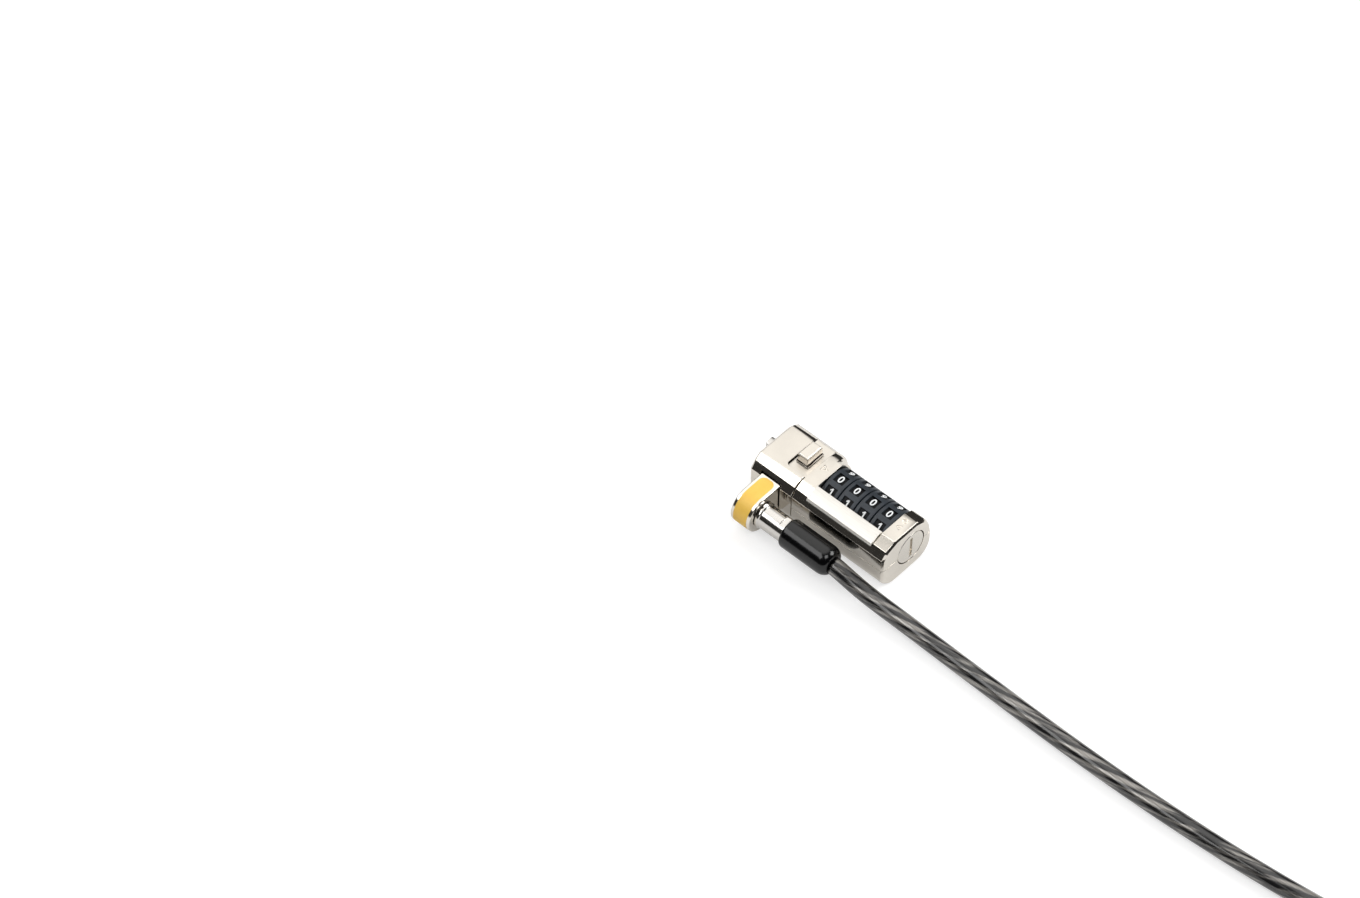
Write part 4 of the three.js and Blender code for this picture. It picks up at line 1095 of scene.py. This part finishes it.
sleeve = clean_copy("crimped_sleeve", "end_sleeve")
sleeve_low, sleeve_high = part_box("end_sleeve")
sleeve_middle = (sleeve_low + sleeve_high) / 2
for share in WAIST_CUTS:
    x = sleeve_low.x + share * (sleeve_high.x - sleeve_low.x)
    editing(sleeve)
    bpy.ops.mesh.select_all(action="SELECT")
    bpy.ops.mesh.bisect(plane_co=(x, 0, 0), plane_no=(1, 0, 0))
for share in WAISTS:
    x = sleeve_low.x + share * (sleeve_high.x - sleeve_low.x)
    pick(sleeve, "vertices", lambda point: abs(point.x - x) < 0.3 * MM)
    bpy.ops.transform.resize(value=WAIST_SIZE, center_override=tuple(sleeve_middle))
bpy.ops.object.mode_set(mode="OBJECT")
settle(shade(sleeve, 40), "cable", "steel", t_bar_metal, "end_sleeve")

# %% [markdown]
# ## The tie
# A hook-and-loop strap holds the hank. It is a woven band, so its four bends are rounded and a fine rib runs
# across its width.

# %% Make the tie
RIB_PITCH = 0.7
WEFT_PITCH = 0.5
STRAP_BEND = 0.8  # radius of the strap's four bends
LONG_EDGE = 5  # the edges across the strap are longer than this


def woven():
    material, tree, shader = blank("woven_strap", Roughness=0.9, Sheen_Weight=0.3)
    x, y, z = (axis_of(tree, letter) for letter in "XYZ")
    rib = abs(x / RIB_PITCH % 1 - 0.5) * 2
    weft = abs((y + z) / WEFT_PITCH % 1 - 0.5) * 2
    fuzz = noise(tree, 0.2, detail=3)
    height = rib * 0.6 + weft * 0.25 + fuzz * 0.3
    feed(shader, "Base Color", height.smooth(0.3, 1.0).mix(rgb(20, 20, 22), rgb(52, 52, 56)))
    bump(shader, height, 0.06)
    return material


tie = clean_copy("strap", "hank_tie")
editing(tie)
tie_corners = pick(tie, "edges", lambda a, b: abs(a.x - b.x) > LONG_EDGE * MM)
bpy.ops.mesh.bevel(offset=STRAP_BEND * MM, segments=3, profile=0.5, clamp_overlap=False)
bpy.ops.object.mode_set(mode="OBJECT")
print("strap corners", tie_corners)
settle(shade(tie, 40), "cable", "tie", woven(), "hank_tie")

# %% [markdown]
# ## What stays as it is
# The pieces inside the body are hardly seen, and their CAD nodes are the right shape. They keep their shape
# and take a finish in the metal that such a piece is made of.

# %% Give the carried-over nodes their finish
FINISHES = {
    brass_metal: ["neck_bushing"] + [f"dial_hub_{i}" for i in (1, 2, 3, 4)],
    t_bar_metal: ["spindle", "fence_bar", "crank"] + [f"base_pin_{i}" for i in (1, 2, 3, 4)],
    spring_metal: ["drive_pin", "fence_spring", "detent_comb", "reset_spring", "ferrule_clip"],
}
for finish, names in FINISHES.items():
    for name in names:
        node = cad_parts[name]
        if not node.material_slots:
            node.data.materials.append(finish)
        for slot in node.material_slots:
            slot.material = finish
    print(finish.name, "on", len(names), "nodes")

tuple(to_frame((33.9, -15.1, 6.4)))
print("cord declared,", round(cable_length, 2), "m")

# %% [markdown]
# ## Floor and light
# The photograph is a product shot on white. A wide pale floor carries the shadows. To the camera it glows a
# little, so that it comes out white without more light on the lock, and a part of that glow is left in what
# polished metal mirrors. The world is white to the camera, and to the lock it is a dark room with one soft
# bright patch overhead. Three wide lamps stand round it. A polished face is as bright as what it mirrors, so
# the patch and the lamps are placed by the faces that should shine.

# %% Make the floor
FLOOR_GREY = 0.7
FLOOR_GREY_SEEN = 0.5
FLOOR_GLOW = 0.62
GLOW_MIRRORED = 0.4


def grey(value):
    return (value, value, value, 1)


bpy.ops.object.select_all(action="DESELECT")
bpy.ops.mesh.primitive_plane_add(size=6, location=(0, 0, -0.00005))
floor = bpy.context.object
floor.name = "floor"
floor_material = bpy.data.materials.new("floor_white")
floor_material.use_nodes = True
floor_tree = Wire(floor_material.node_tree)
floor_material.node_tree.nodes.clear()
from_camera = floor_tree.node("LightPath", output=0)
mirrored = floor_tree.node("LightPath", output=3)
through = floor_tree.node("LightPath", output=6)
glowing = from_camera + mirrored * GLOW_MIRRORED + through
plain = floor_tree.node("BsdfDiffuse", None, {"Color": grey(FLOOR_GREY)})
darker = floor_tree.node("BsdfDiffuse", None, {"Color": grey(FLOOR_GREY_SEEN)})
glow = floor_tree.node("Emission", None, {"Color": grey(1), "Strength": FLOOR_GLOW})
white = floor_tree.node("AddShader", None, {0: darker, 1: glow})
both = floor_tree.node("MixShader", None, {0: glowing, 1: plain, 2: white})
floor_tree.node("OutputMaterial", None, {"Surface": both})
floor.data.materials.append(floor_material)
print("floor made")

# %% Light the scene
PATCH_DIRECTION = (-0.43, 0.27, 0.86)
PATCH_EDGE, PATCH_FULL = 0.74, 0.96  # cosines of the angle from the patch's middle
PATCH_COLOUR = (1.45, 1.435, 1.41, 1)
ROOM_COLOUR = (0.035, 0.034, 0.033, 1)

world = bpy.data.worlds.new("studio")
bpy.context.scene.world = world
world.use_nodes = True
world.node_tree.nodes.clear()
sky = Wire(world.node_tree)
direction = sky.node("TexCoord", output=0)
towards = sky.node(
    "VectorMath", {"operation": "DOT_PRODUCT"}, {0: direction, 1: PATCH_DIRECTION}, output=1
)
room = towards.smooth(PATCH_EDGE, PATCH_FULL).mix(ROOM_COLOUR, PATCH_COLOUR)
to_camera = sky.node("LightPath", output=0)
background = sky.node("Background", None, {"Color": to_camera.mix(room, grey(1)), "Strength": 1.0})
sky.node("OutputWorld", None, {"Surface": background})


def softbox(name, place, size, power):
    """A flat lamp that faces the lock."""
    lamp = bpy.data.lights.new(name, "AREA")
    lamp.shape = "RECTANGLE"
    lamp.size, lamp.size_y = size
    lamp.energy = power
    holder = bpy.data.objects.new(name, lamp)
    holder.location = place
    holder.rotation_euler = (-Vector(place)).to_track_quat("-Z", "Y").to_euler()
    bpy.context.scene.collection.objects.link(holder)


softbox("near_side_box", (-0.43, -0.49, 0.77), (0.9, 0.42), 3.5)
softbox("fill_box", (0.45, -0.3, 1.1), (0.5, 0.5), 3.2)
softbox("back_box", (0.6, 0.75, 0.8), (0.7, 0.7), 9.0)
bpy.context.scene.view_settings.view_transform = "Standard"
